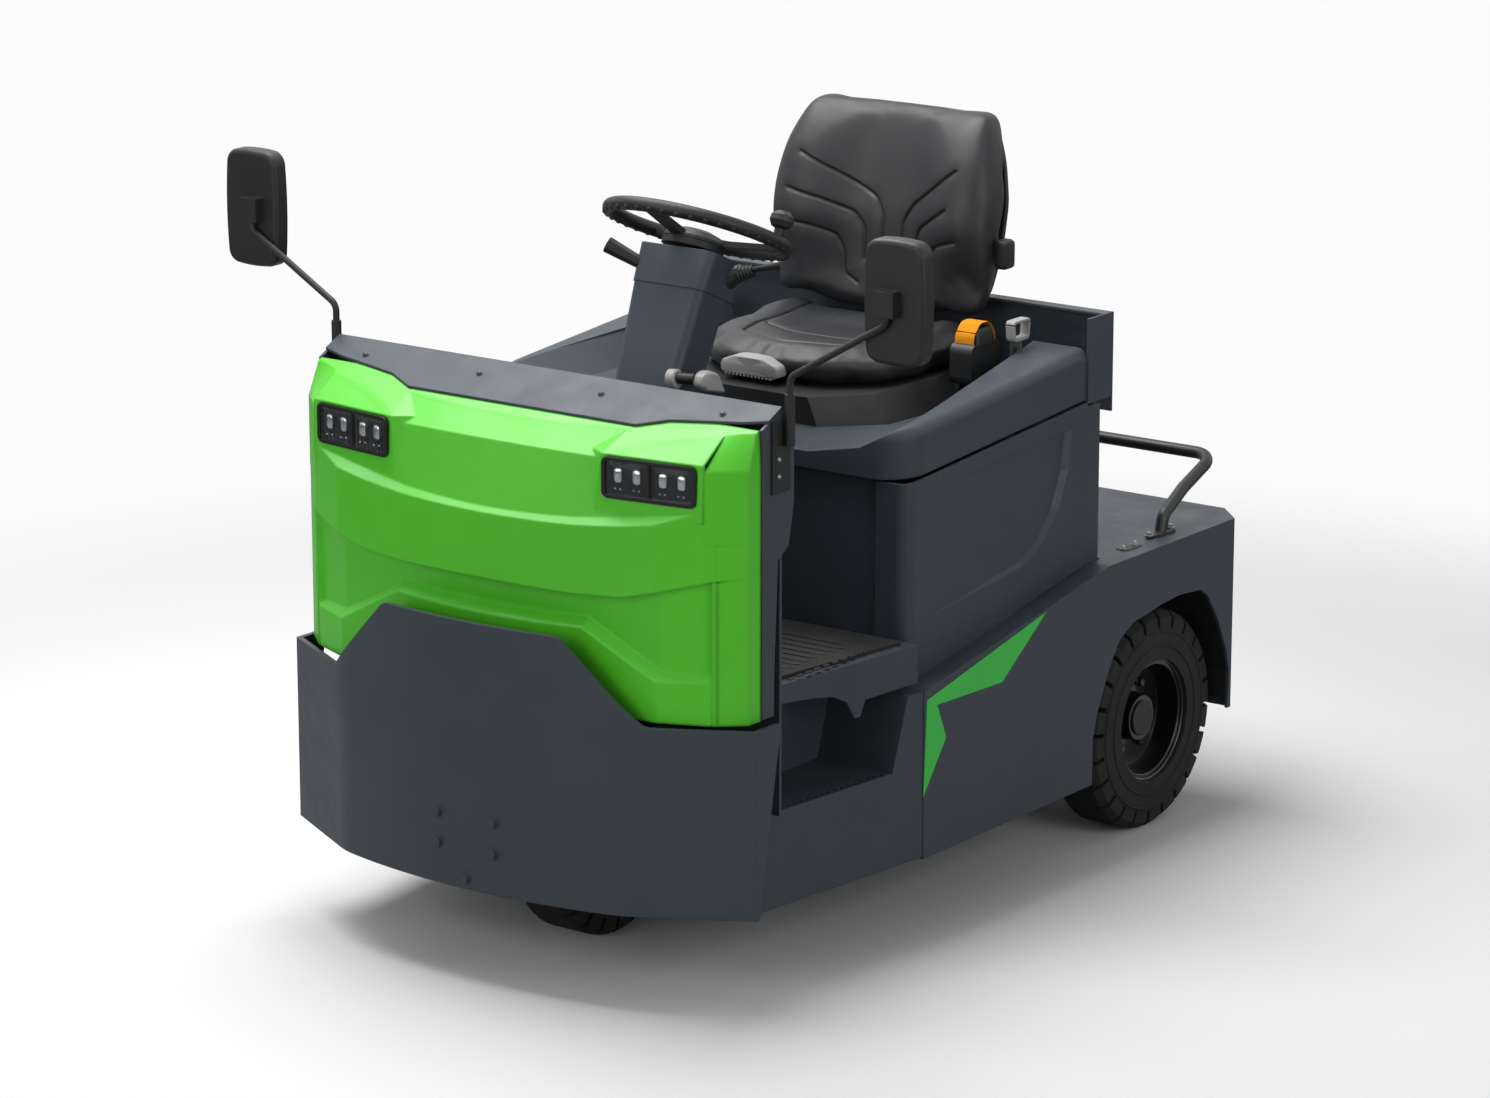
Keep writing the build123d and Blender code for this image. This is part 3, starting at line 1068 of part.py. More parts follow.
def lever(stations):
    """Tapering bars, one for every two stations, outside the column's housing."""
    shape = None
    for start, end in zip(stations[::2], stations[1::2]):
        direction = Vector(*end[0]) - Vector(*start[0])
        faces = [Plane(origin=point, z_dir=direction) * RegularPolygon(radius, LEVER_FLATS)
                 for point, radius in (start, end)]
        bar = loft(faces, ruled=True)
        shape = bar if shape is None else shape + bar
    return shape


def switch_stalk():
    """Short stalk on the column's right side."""
    return lever(SWITCH_STALK) - column_housing()


def travel_lever():
    """Travel direction lever with its bellows on the column's left side."""
    return lever(TRAVEL_LEVER) - column_housing()


def tilt_lever():
    """Paddle that frees the column's tilt."""
    return lever(TILT_STUB) + side_profile(PADDLE, *PADDLE_X) - column_housing()


def steering_wheel():
    """Rim with a spinner knob, three spokes, domed boss and shaft."""
    reach = WHEEL_R - WHEEL_TUBE_R
    shape = Torus(reach, WHEEL_TUBE_R) + turned(BOSS)
    shape += upright_rod(0, 0, SHAFT_END, SHAFT_TOP, SHAFT_R)
    for angle in SPOKES:
        shape += Rot(0, 0, angle - 90) * side_profile(SPOKE, -SPOKE_HALF, SPOKE_HALF)
    knob = Pos(reach * cos(radians(KNOB_ANGLE)), reach * sin(radians(KNOB_ANGLE)), 0) * turned(KNOB)
    return column_plane(0) * (shape + knob)


# Tow coupling
PIN_SETBACK = 37.0           # coupling's end to the pin
PIN_Y = COUPLING_REAR_Y - PIN_SETBACK
PIN_R = 14.0
JAW_LEVELS = [250.0, 318.0, 386.0, 454.0]
JAW_T = 18.0
JAW_HALF = 62.0
JAW_TIP_HALF = 26.0
COUPLING_PLATE_T = 16.0


def tow_coupling():
    """Stack of jaw plates on a back plate, with bores for the pin."""
    z0, z1 = JAW_LEVELS[0], JAW_LEVELS[-1] + JAW_T
    low, high = z0 - 20, z1 + 20
    shape = side_profile([(rear_wall_y(low), low), (rear_wall_y(high), high),
                          (rear_wall_y(high) + COUPLING_PLATE_T, high), (rear_wall_y(low) + COUPLING_PLATE_T, low)],
                         -JAW_HALF - 20, JAW_HALF + 20)
    for z in JAW_LEVELS:
        root_y = rear_wall_y(z) + COUPLING_PLATE_T / 2
        plan = [(JAW_HALF, root_y), (JAW_HALF, PIN_Y), (JAW_TIP_HALF, COUPLING_REAR_Y)]
        shape += plan_profile(both_sides(plan), z, z + JAW_T)
    return shape - upright_rod(0, PIN_Y, z0 - 5, z1 + 5, PIN_R + RUNNING_GAP)


def tow_pin():
    """Pin with a collar and a bow handle."""
    z0, z1 = JAW_LEVELS[0] - 12, JAW_LEVELS[-1] + JAW_T
    shape = upright_rod(0, PIN_Y, z0, z1 + 40, PIN_R)
    shape += upright_rod(0, PIN_Y, z1 + RUNNING_GAP, z1 + 12, PIN_R + 8)
    path = FilletPolyline((-16, PIN_Y, z1 + 30), (-16, PIN_Y, z1 + 62), (16, PIN_Y, z1 + 62),
                          (16, PIN_Y, z1 + 30), radius=12)
    return shape + sweep(Plane(origin=path @ 0, z_dir=path % 0) * Circle(5), path=path)


# Every piece by its node's name
REAR_WHEEL = Pos(REAR_WHEEL_X, REAR_AXLE_Y, REAR_TYRE_R)
FRONT_WHEEL = Pos(0, FRONT_AXLE_Y, FRONT_TYRE_R)
PIECES = {
    "bumper": bumper(),
    "front_block": front_block(),
    "chassis_frame": chassis_frame(),
    "front_cover": front_cover(),
    "front_bulkhead": front_bulkhead(),
    "dash_plate": dash_plate(),
    "floor_plate": floor_plate(),
    "floor_mat": floor_mat(),
    "pedals": pedals(),
    "rear_panel": rear_panel(),
    "rear_deck": rear_deck(),
    "handrail": handrail(),
    "battery_tray": battery_tray(),
    "battery_body": battery_body(),
    "lower_back": lower_back(),
    "battery": battery(),
    "hood": hood(),
    "hood_hinge_right": hinge_bracket(HINGE_ARMS[0]),
    "hood_hinge_left": hinge_bracket(HINGE_ARMS[1]),
    "seat_base": seat_base(),
    "seat_cushion": seat_cushion(),
    "seat_back": seat_back(),
    "belt_retractor": belt_retractor(),
    "rear_axle": rear_axle(),
    "steering_fork": steering_fork(),
    "front_rim": FRONT_WHEEL * rim(FRONT_RIM_R, FRONT_TYRE_W, FRONT_SHAFT_R + RUNNING_GAP, 0),
    "front_tyre": FRONT_WHEEL * tyre(FRONT_TYRE_R, FRONT_TYRE_W, FRONT_RIM_R),
    "column_housing": column_housing(),
    "column_console": column_console(),
    "switch_stalk": switch_stalk(),
    "travel_lever": travel_lever(),
    "tilt_lever": tilt_lever(),
    "steering_wheel": steering_wheel(),
    "tow_coupling": tow_coupling(),
    "tow_pin": tow_pin(),
}
# Pieces that the machine has once on each side, drawn for the left
PAIRS = {
    "lamp": lamp(),
    "mirror": mirror_unit(),
    "step": step(),
    "side_skirt": side_skirt(),
    "arch_liner": arch_liner(),
    "rear_rim": REAR_WHEEL * rim(REAR_RIM_R, REAR_TYRE_W, REAR_HUB_R + RUNNING_GAP, REAR_DISH),
    "rear_tyre": REAR_WHEEL * tyre(REAR_TYRE_R, REAR_TYRE_W, REAR_RIM_R),
}
for name, piece in PAIRS.items():
    PIECES[name + "_left"] = piece
    PIECES[name + "_right"] = other_side(piece)

os.makedirs("parts", exist_ok=True)
for name, piece in PIECES.items():
    export_step(Pos(0, -MID_Y, 0) * piece, f"parts/{name}.step")
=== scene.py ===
"""Dressed look of the electric tow tractor: finishes for its solids, its soft seat and its small fittings."""

import logging
import math
from dataclasses import dataclass, field
from enum import Enum
from functools import cache
from typing import Callable

import bpy
import numpy as np
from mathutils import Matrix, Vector


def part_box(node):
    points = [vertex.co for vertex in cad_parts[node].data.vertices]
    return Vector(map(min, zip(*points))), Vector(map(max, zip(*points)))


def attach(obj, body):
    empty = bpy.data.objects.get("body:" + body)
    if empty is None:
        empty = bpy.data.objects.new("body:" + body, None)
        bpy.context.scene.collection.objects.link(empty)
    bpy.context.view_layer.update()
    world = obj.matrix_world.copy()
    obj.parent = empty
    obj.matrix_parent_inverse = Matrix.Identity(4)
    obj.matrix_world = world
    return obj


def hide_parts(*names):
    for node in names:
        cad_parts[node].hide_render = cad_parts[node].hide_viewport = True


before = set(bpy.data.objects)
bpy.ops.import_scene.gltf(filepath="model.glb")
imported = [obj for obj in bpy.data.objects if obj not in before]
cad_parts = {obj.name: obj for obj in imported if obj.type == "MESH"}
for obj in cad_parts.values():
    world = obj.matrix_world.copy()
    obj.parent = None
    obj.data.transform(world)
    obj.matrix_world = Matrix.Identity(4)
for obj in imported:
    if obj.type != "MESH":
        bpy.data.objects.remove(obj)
log = logging.getLogger("tow_tractor")

MM = 0.001                      # one millimetre in metres
DATUM_Y = 0.7005                # the dash plate's bolt line lies this far ahead of the origin

# The photograph's frame and its camera
PHOTO_WIDTH_PX = 1490
PHOTO_FOCAL_PX = 5270
SENSOR_MM = 36.0


def srgb(code: str) -> tuple[float, float, float, float]:
    """Turns an sRGB hex code into a linear colour.

    Args:
        code: Six hex digits after a hash.

    Returns:
        Red, green, blue and an alpha of 1, linear.
    """
    parts = np.array([int(code[i:i + 2], 16) for i in (1, 3, 5)]) / 255
    linear = np.where(parts <= 0.04045, parts / 12.92, ((parts + 0.055) / 1.055) ** 2.4)
    return (*linear.tolist(), 1.0)


def add_node(tree: bpy.types.NodeTree, kind: str, inputs: dict | None = None, **settings) -> bpy.types.Node:
    """Adds a shader node with its settings, values and links.

    Args:
        tree: The node tree that gets the node.
        kind: The node's type name after "ShaderNode".
        inputs: Socket name or number to a value, or to the output socket that feeds it.
        **settings: The node's own properties.

    Returns:
        The new node.
    """
    made = tree.nodes.new("ShaderNode" + kind)
    for key, value in settings.items():
        setattr(made, key, value)
    for key, value in (inputs or {}).items():
        if isinstance(value, bpy.types.NodeSocket):
            tree.links.new(value, made.inputs[key])
        else:
            made.inputs[key].default_value = value
    return made


def cells_per_metre(size_mm: float) -> float:
    """Pattern scale whose cells are size_mm across."""
    return 1.0 / (size_mm * MM)


@dataclass
class Shell:
    """Points and triangles of one closed surface, or of several joined ones."""

    points: np.ndarray
    faces: np.ndarray

    @classmethod
    def joined(cls, shells: list["Shell"]) -> "Shell":
        """One shell of many, each one's indices moved on by the points before it.

        Args:
            shells: The shells to join.

        Returns:
            The joined shell.
        """
        starts = np.cumsum([0] + [len(shell.points) for shell in shells[:-1]])
        faces = [shell.faces + start for shell, start in zip(shells, starts)]
        return cls(np.concatenate([shell.points for shell in shells]), np.concatenate(faces))

    def outward(self) -> "Shell":
        """The shell with its triangles facing out, by the sign of its volume, sum of a.(b x c) / 6.

        Returns:
            The shell itself, or one with its triangles turned over.
        """
        a, b, c = (self.points[self.faces[:, k]] for k in range(3))
        volume = np.einsum("ij,ij->i", a, np.cross(b, c)).sum()
        return self if volume > 0 else Shell(self.points, self.faces[:, ::-1])

    def mirrored(self) -> "Shell":
        """The same shell on the other side of x = 0."""
        return Shell(self.points * (-1, 1, 1), self.faces[:, ::-1])

    def copies(self, steps: np.ndarray) -> "Shell":
        """Joined copies of the shell, one moved by each row of steps.

        Args:
            steps: Moves as count x 3.

        Returns:
            All copies as one shell.
        """
        count = len(self.points)
        points = (self.points[None] + np.asarray(steps)[:, None]).reshape(-1, 3)
        faces = (self.faces[None] + count * np.arange(len(steps))[:, None, None]).reshape(-1, 3)
        return Shell(points, faces)


def ring_faces(rows: int, count: int) -> np.ndarray:
    """Two triangles for each cell between closed rings, ring r starting at index r * count.

    Args:
        rows: How many rings there are.
        count: Points of a ring.

    Returns:
        The triangles as rows of three indices.
    """
    ring = np.arange(rows - 1)[:, None] * count
    here = np.arange(count)[None, :]
    after = (here + 1) % count
    a, b, c, d = ring + here, ring + after, ring + count + after, ring + count + here
    return np.concatenate([np.stack([a, b, c], -1).reshape(-1, 3), np.stack([a, c, d], -1).reshape(-1, 3)])


def loft(rings: np.ndarray, tips: tuple | None = None) -> Shell:
    """Closed surface through rings, with a fan to one tip at either end.

    Args:
        rings: Points as rings x points x 3.
        tips: The two tips. Without them they are the end rings' middles.

    Returns:
        The shell, facing out.
    """
    rows, count, _ = rings.shape
    ends = (rings[0].mean(axis=0), rings[-1].mean(axis=0)) if tips is None else tips
    points = np.concatenate([rings.reshape(-1, 3), np.asarray(ends, dtype=float)])
    here = np.arange(count)
    after = (here + 1) % count
    low = np.stack([np.full(count, rows * count), after, here], -1)
    start = (rows - 1) * count
    high = np.stack([np.full(count, rows * count + 1), here + start, after + start], -1)
    return Shell(points, np.concatenate([ring_faces(rows, count), low, high])).outward()


def cross_axes(axis: np.ndarray) -> tuple[np.ndarray, np.ndarray]:
    """Two unit vectors square to an axis and to each other.

    Args:
        axis: Unit vector.

    Returns:
        The two vectors, the first one level unless the axis is nearly upright.
    """
    nearly_upright = 0.9
    helper = np.array([0.0, 0.0, 1.0]) if abs(axis[2]) < nearly_upright else np.array([1.0, 0.0, 0.0])
    side = np.cross(helper, axis)
    side /= np.linalg.norm(side)
    return side, np.cross(axis, side)


def turned(profile: list, origin: tuple, axis: tuple, steps: int = 24) -> Shell:
    """Solid of revolution: p(t, a) = origin + t * axis + r(t) * (cos(a) * e1 + sin(a) * e2).

    Args:
        profile: Rows of distance along the axis and radius, in metres.
        origin: Where the distance is 0.
        axis: Direction of the axis.
        steps: Flats round the turn, six of them for a nut.

    Returns:
        The closed shell.
    """
    ahead = np.asarray(axis, dtype=float)
    ahead = ahead / np.linalg.norm(ahead)
    one, two = cross_axes(ahead)
    angle = np.linspace(0, 2 * np.pi, steps, endpoint=False)
    circle = np.cos(angle)[:, None] * one + np.sin(angle)[:, None] * two
    rows = np.asarray(profile, dtype=float)
    return loft(np.asarray(origin) + rows[:, 0, None, None] * ahead + rows[:, 1, None, None] * circle)


def slab(outline: np.ndarray, origin: tuple, across: tuple, up: tuple, levels: list) -> Shell:
    """Plate over a flat outline, each level shrunk towards the outline's middle.

    Args:
        outline: Points x 2, along across and up.
        origin: The outline's zero point in space.
        across: First direction of the outline.
        up: Second direction of the outline.
        levels: Rows of height along across x up, and share of the outline's size.

    Returns:
        The closed shell.
    """
    u, v = np.asarray(across, dtype=float), np.asarray(up, dtype=float)
    u, v = u / np.linalg.norm(u), v / np.linalg.norm(v)
    middle = outline.mean(axis=0)
    plane, normal = np.stack([u, v]), np.cross(u, v)
    rings = [np.asarray(origin) + height * normal + (middle + share * (outline - middle)) @ plane
             for height, share in levels]
    return loft(np.stack(rings))


def even_steps(line: np.ndarray, count: int, closed: bool) -> np.ndarray:
    """A line's points, count of them at equal steps along it.

    Args:
        line: Corner points x dimensions.
        count: How many points to give.
        closed: Whether the line runs back to its start.

    Returns:
        The points as count x dimensions.
    """
    path = np.vstack([line, line[:1]]) if closed else line
    along = np.concatenate([[0.0], np.cumsum(np.linalg.norm(np.diff(path, axis=0), axis=1))])
    where = np.linspace(0, along[-1], count, endpoint=not closed)
    return np.stack([np.interp(where, along, path[:, k]) for k in range(path.shape[1])], -1)


def rounded(corners: list, count: int, reach: float, closed: bool = True) -> np.ndarray:
    """A line through corners with the corners rounded.

    Equal steps p(s) become the mean of p(s + d) under a Hann window of width reach, so a corner
    turns over that length. An open line keeps its ends.

    Args:
        corners: The line's corners, in two or three dimensions.
        count: How many points the line gets.
        reach: Length over which a corner turns, in metres.
        closed: Whether the line runs back to its start.

    Returns:
        The points as count x dimensions.
    """
    line = np.asarray(corners, dtype=float)
    even = even_steps(line, count, closed)
    step = np.linalg.norm(np.diff(even, axis=0), axis=1).mean()
    half = max(int(round(reach / step / 2)), 1)
    window = np.hanning(2 * half + 3)[1:-1]
    window /= window.sum()
    if closed:
        return sum(share * np.roll(even, half - k, axis=0) for k, share in enumerate(window))
    padded = np.concatenate([2 * even[:1] - even[half:0:-1], even, 2 * even[-1:] - even[-2:-half - 2:-1]])
    return sum(share * padded[k:k + count] for k, share in enumerate(window))


def box_outline(width: float, height: float, corner: float, count: int = 48) -> np.ndarray:
    """Rectangle round zero with round corners, as count x 2 points."""
    w, h = width / 2, height / 2
    return rounded([(-w, -h), (w, -h), (w, h), (-w, h)], count, corner)


def swept(path: np.ndarray, section: np.ndarray, up: tuple) -> Shell:
    """A section carried along a path: p(i, j) = path_i + a_j * side_i + b_j * rise_i.

    side is the path's tangent x up, and rise is side x tangent.

    Args:
        path: Points x 3.
        section: Points x 2, as a and b.
        up: Direction that the section's b leans to.

    Returns:
        The closed shell.
    """
    tangent = np.gradient(path, axis=0)
    tangent /= np.linalg.norm(tangent, axis=1, keepdims=True)
    side = np.cross(tangent, np.asarray(up, dtype=float))
    side /= np.linalg.norm(side, axis=1, keepdims=True)
    rise = np.cross(side, tangent)
    return loft(path[:, None] + section[None, :, :1] * side[:, None] + section[None, :, 1:] * rise[:, None])


def smooth_step(value: np.ndarray, start: float, end: float) -> np.ndarray:
    """0 before start, 1 after end and an even turn between."""
    share = np.clip((value - start) / (end - start), 0, 1)
    return share * share * (3 - 2 * share)


def pillow(outline: np.ndarray, low: Callable, high: Callable, edge: float,
           order: tuple = (0, 1, 2)) -> Shell:
    """Crowned closed form over a flat outline.

    Row a runs from -90 to 90 degrees. The outline shrinks to its middle by cos(a)**edge while the
    height goes from low to high as (1 + sin(a)|sin(a)|**(edge - 1)) / 2, a superellipse.

    Args:
        outline: Points x 2.
        low: Height of the under face from u and v.
        high: Height of the upper face from u and v.
        edge: Exponent, smaller for a squarer edge.
        order: Which of u, v and height stands along x, y and z.

    Returns:
        The closed shell.
    """
    face_rings, rim_rings = 16, 15
    innermost, outermost = 0.04, 0.92
    middle = outline.mean(axis=0)
    face = np.arccos(np.linspace(innermost, outermost, face_rings) ** (1 / edge))
    rim = np.linspace(-face[-1], face[-1], rim_rings + 2)[1:-1]
    angle = np.concatenate([-face, rim, face[::-1]])
    share = np.cos(angle) ** edge
    lift = (1 + np.sign(np.sin(angle)) * np.abs(np.sin(angle)) ** edge) / 2
    plan = middle + share[:, None, None] * (outline - middle)
    bottom, top = low(plan[..., 0], plan[..., 1]), high(plan[..., 0], plan[..., 1])
    height = bottom + (top - bottom) * lift[:, None]
    rings = np.concatenate([plan, height[..., None]], axis=-1)[..., order]
    tips = [np.array([*middle, float(level(*middle))])[list(order)] for level in (low, high)]
    return loft(rings, tuple(tips))


@dataclass(frozen=True)
class Finish:
    """A surface finish: colour, gloss and the fine relief that its making leaves.

    The relief is a noise whose cells are grain_mm across, and the colour drifts slowly between
    two shades over drift_mm. Edges are turned by edge_mm, as paint and moulding round them.
    """

    name: str
    colour: str
    shade: str
    roughness: float
    grain_mm: float
    relief_mm: float
    drift_mm: float = 260.0
    edge_mm: float = 2.0
    metallic: float = 0.0
    coat: float = 0.0
    specular: float = 0.5
    gloss_spread: float = 0.07

    def start(self) -> tuple[bpy.types.Material, bpy.types.NodeTree, bpy.types.NodeSocket]:
        """Makes the empty material and its object coordinates.

        Returns:
            The material, its node tree and the coordinate socket.
        """
        material = bpy.data.materials.new(self.name)
        material.use_nodes = True
        tree = material.node_tree
        tree.nodes.clear()
        place = add_node(tree, "TexCoord").outputs["Object"]
        return material, tree, place

    def colour_socket(self, tree: bpy.types.NodeTree, place: bpy.types.NodeSocket) -> bpy.types.NodeSocket:
        """Slow drift between the two shades.

        Args:
            tree: The material's node tree.
            place: Its object coordinates.

        Returns:
            The colour's output socket.
        """
        noise = add_node(tree, "TexNoise", {"Vector": place, "Scale": cells_per_metre(self.drift_mm),
                                            "Detail": 4.0, "Roughness": 0.6})
        ramp = add_node(tree, "MapRange", {"Value": noise.outputs["Fac"], "From Min": 0.35, "From Max": 0.65})
        mix = add_node(tree, "Mix", {0: ramp.outputs["Result"], 6: srgb(self.colour), 7: srgb(self.shade)},
                       data_type="RGBA")
        return mix.outputs[2]

    def height_socket(self, tree: bpy.types.NodeTree, place: bpy.types.NodeSocket) -> bpy.types.NodeSocket:
        """Fine grain, from 0 to 1.

        Args:
            tree: The material's node tree.
            place: Its object coordinates.

        Returns:
            The height's output socket.
        """
        grain = add_node(tree, "TexNoise", {"Vector": place, "Scale": cells_per_metre(self.grain_mm),
                                            "Detail": 3.0, "Roughness": 0.55})
        return grain.outputs["Fac"]

    def rough_socket(self, tree: bpy.types.NodeTree, place: bpy.types.NodeSocket) -> bpy.types.NodeSocket:
        """Gloss that varies a little, as handling and dust leave it.

        Args:
            tree: The material's node tree.
            place: Its object coordinates.

        Returns:
            The roughness's output socket.
        """
        smear = add_node(tree, "TexNoise", {"Vector": place, "Scale": cells_per_metre(self.drift_mm / 3),
                                            "Detail": 5.0, "Roughness": 0.65})
        ranged = add_node(tree, "MapRange", {"Value": smear.outputs["Fac"], "From Min": 0.3, "From Max": 0.7,
                                             "To Min": max(self.roughness - self.gloss_spread, 0.02),
                                             "To Max": min(self.roughness + self.gloss_spread, 1.0)})
        return ranged.outputs["Result"]

    def build(self) -> bpy.types.Material:
        """Makes the material.

        Returns:
            The finished material.
        """
        material, tree, place = self.start()
        turned_edge = add_node(tree, "Bevel", {"Radius": self.edge_mm * MM}, samples=4)
        bump = add_node(tree, "Bump", {
            "Height": self.height_socket(tree, place), "Distance": self.relief_mm * MM, "Strength": 1.0,
            "Normal": turned_edge.outputs["Normal"]})
        shader = add_node(tree, "BsdfPrincipled", {
            "Base Color": self.colour_socket(tree, place), "Roughness": self.rough_socket(tree, place),
            "Metallic": self.metallic, "Coat Weight": self.coat, "Specular IOR Level": self.specular,
            "Normal": bump.outputs["Normal"]})
        add_node(tree, "OutputMaterial", {"Surface": shader.outputs["BSDF"]})
        return material


@dataclass(frozen=True)
class Vinyl(Finish):
    """Seat cover with painted shade in its seams: the attribute "seam" is 1 in a seam and 0 away from it, and
    darkens the colour there.
    """

    # Colour of the painted shade in the seams
    painted_seam_shade_colour: str = "#0B0B0C"

    def colour_socket(self, tree: bpy.types.NodeTree, place: bpy.types.NodeSocket) -> bpy.types.NodeSocket:
        """The drift, with painted shade darkening the seams.

        Args:
            tree: The material's node tree.
            place: Its object coordinates.

        Returns:
            The colour's output socket.
        """
        plain = super().colour_socket(tree, place)
        seam = add_node(tree, "Attribute", attribute_name="seam")
        mix = add_node(tree, "Mix", {0: seam.outputs["Fac"], 6: plain, 7: srgb(self.painted_seam_shade_colour)},
                       data_type="RGBA")
        return mix.outputs[2]


def sine_ribs(tree: bpy.types.NodeTree, place: bpy.types.NodeSocket, pitch_mm: float) -> bpy.types.NodeSocket:
    """Ribs that stand upright, side by side along x: sin(2 pi x / pitch).

    Args:
        tree: The material's node tree.
        place: Its object coordinates.
        pitch_mm: Distance from rib to rib.

    Returns:
        The height's output socket, from -1 to 1.
    """
    across = add_node(tree, "SeparateXYZ", {0: place}).outputs["X"]
    phase = add_node(tree, "Math", {0: across, 1: 2 * math.pi / (pitch_mm * MM)}, operation="MULTIPLY")
    return add_node(tree, "Math", {0: phase.outputs["Value"]}, operation="SINE").outputs["Value"]


@dataclass(frozen=True)
class Webbing(Finish):
    """Woven belt: ribs along x with the pitch of the weave."""

    rib_mm: float = 2.4

    def height_socket(self, tree: bpy.types.NodeTree, place: bpy.types.NodeSocket) -> bpy.types.NodeSocket:
        """Ribs of the weave."""
        return sine_ribs(tree, place, self.rib_mm)


@dataclass(frozen=True)
class Glass(Finish):
    """Clear moulded lens with upright flutes."""

    flute_mm: float = 9.0
    ior: float = 1.2

    def build(self) -> bpy.types.Material:
        """Makes the clear material.

        Returns:
            The finished material.
        """
        material, tree, place = self.start()
        bump = add_node(tree, "Bump", {"Height": sine_ribs(tree, place, self.flute_mm),
                                       "Distance": self.relief_mm * MM})
        shader = add_node(tree, "BsdfPrincipled", {
            "Base Color": srgb(self.colour), "Roughness": self.roughness, "Transmission Weight": 1.0,
            "IOR": self.ior, "Normal": bump.outputs["Normal"]})
        add_node(tree, "OutputMaterial", {"Surface": shader.outputs["BSDF"]})
        return material


# Powder-coated steel sheet: satin slate grey with a fine orange peel.
SLATE_COAT = Finish("powder_coated_sheet_slate", "#3F464E", "#3B4249", 0.46, 1.6, 0.018, edge_mm=2.5,
                    specular=0.3)
# Thermoformed cover in apple green: smooth and glossy under a clear skin.
GREEN_COVER = Finish("moulded_cover_green", "#5AD02C", "#56CA29", 0.36, 6.0, 0.012, edge_mm=7.0,
                     coat=0.05, specular=0.4)
# Black enamel on castings and tubes: slightly rough skin.
BLACK_ENAMEL = Finish("enamelled_casting_black", "#17181A", "#1B1C1E", 0.42, 2.4, 0.04, edge_mm=2.0)
# Gloss black enamel of the rims.
RIM_ENAMEL = Finish("gloss_enamel_rim_black", "#0C0C0D", "#101011", 0.22, 5.0, 0.02, edge_mm=2.0, coat=0.4)
# Moulded black plastic with a spark-eroded grain.
BLACK_PLASTIC = Finish("grained_plastic_black", "#18191A", "#1C1D1E", 0.48, 0.9, 0.03, edge_mm=1.5,
                       specular=0.4)
# Solid tyre rubber: dull, dark, finely pitted.
TYRE_RUBBER = Finish("solid_tyre_rubber", "#1B1B1B", "#232221", 0.78, 2.0, 0.08, edge_mm=2.0, specular=0.3)
# Floor mat rubber.
MAT_RUBBER = Finish("ribbed_mat_rubber", "#1B1B1B", "#201F1F", 0.60, 1.5, 0.05, edge_mm=1.0, specular=0.35)
# Light grey moulded levers.
GREY_PLASTIC = Finish("grained_plastic_light_grey", "#A6A6A4", "#A0A09E", 0.45, 0.9, 0.02, edge_mm=1.5)
# Lamp housing, smooth black polycarbonate.
LAMP_PLASTIC = Finish("smooth_lamp_plastic_black", "#101113", "#141517", 0.22, 3.0, 0.01, edge_mm=1.5)
# Vinyl seat cover with a fine leather grain and painted shade in its seams.
SEAT_VINYL = Vinyl("seat_cover_vinyl", "#27282A", "#242527", 0.48, 1.4, 0.05, specular=0.4)
# Orange polyester belt webbing.
BELT_WEBBING = Webbing("belt_webbing_orange", "#F09A14", "#E89010", 0.75, 2.4, 0.25, specular=0.2)
# Clear lamp cover.
LAMP_GLASS = Glass("clear_fluted_lens", "#F4F6F8", "#F4F6F8", 0.05, 9.0, 0.3)
# Vacuum-metallised reflector.
REFLECTOR = Finish("metallised_reflector", "#D8DADC", "#CFD1D3", 0.16, 6.0, 0.02, metallic=1.0)
# Mirror glass with its silvering.
MIRROR_GLASS = Finish("silvered_mirror_glass", "#E6E9EA", "#E2E5E6", 0.03, 80.0, 0.002, edge_mm=0.5,
                      metallic=1.0)
# Zinc-plated steel fasteners and belt tongue.
ZINC_STEEL = Finish("zinc_plated_steel", "#9A9C9C", "#8E9091", 0.34, 1.2, 0.01, edge_mm=0.5, metallic=1.0)
# Dark bolts in slate paint.
DARK_BOLT = Finish("blackened_bolt_steel", "#2A2D30", "#25282B", 0.35, 1.2, 0.01, edge_mm=0.5)
# Green foil stripe on the painted side.
STRIPE_FOIL = Finish("stripe_foil_green", "#36CC46", "#34C843", 0.32, 8.0, 0.004, edge_mm=0.2)

# Which finish each solid of the frame takes
NODE_FINISHES: dict[Finish, tuple[str, ...]] = {
    SLATE_COAT: ("bumper", "front_bulkhead", "dash_plate", "floor_plate", "step_left", "step_right",
                 "side_skirt_left", "side_skirt_right", "rear_panel", "rear_deck", "battery_body",
                 "lower_back", "hood", "column_housing", "battery_tray"),
    GREEN_COVER: ("front_cover",),
    BLACK_ENAMEL: ("front_block", "chassis_frame", "rear_axle", "steering_fork", "tow_coupling", "handrail",
                   "hood_hinge_left", "hood_hinge_right", "battery", "pedals"),
    RIM_ENAMEL: ("rear_rim_left", "rear_rim_right", "front_rim"),
    BLACK_PLASTIC: ("mirror_left", "mirror_right", "column_console", "steering_wheel", "seat_base",
                    "seat_cushion", "seat_back", "arch_liner_left", "arch_liner_right", "belt_retractor",
                    "switch_stalk", "travel_lever"),
    GREY_PLASTIC: ("tilt_lever",),
    ZINC_STEEL: ("tow_pin",),
    TYRE_RUBBER: ("rear_tyre_left", "rear_tyre_right", "front_tyre"),
    MAT_RUBBER: ("floor_mat",),
    LAMP_PLASTIC: ("lamp_left", "lamp_right"),
}


@cache
def material_of(finish: Finish) -> bpy.types.Material:
    """The finish's material, made once."""
    return finish.build()


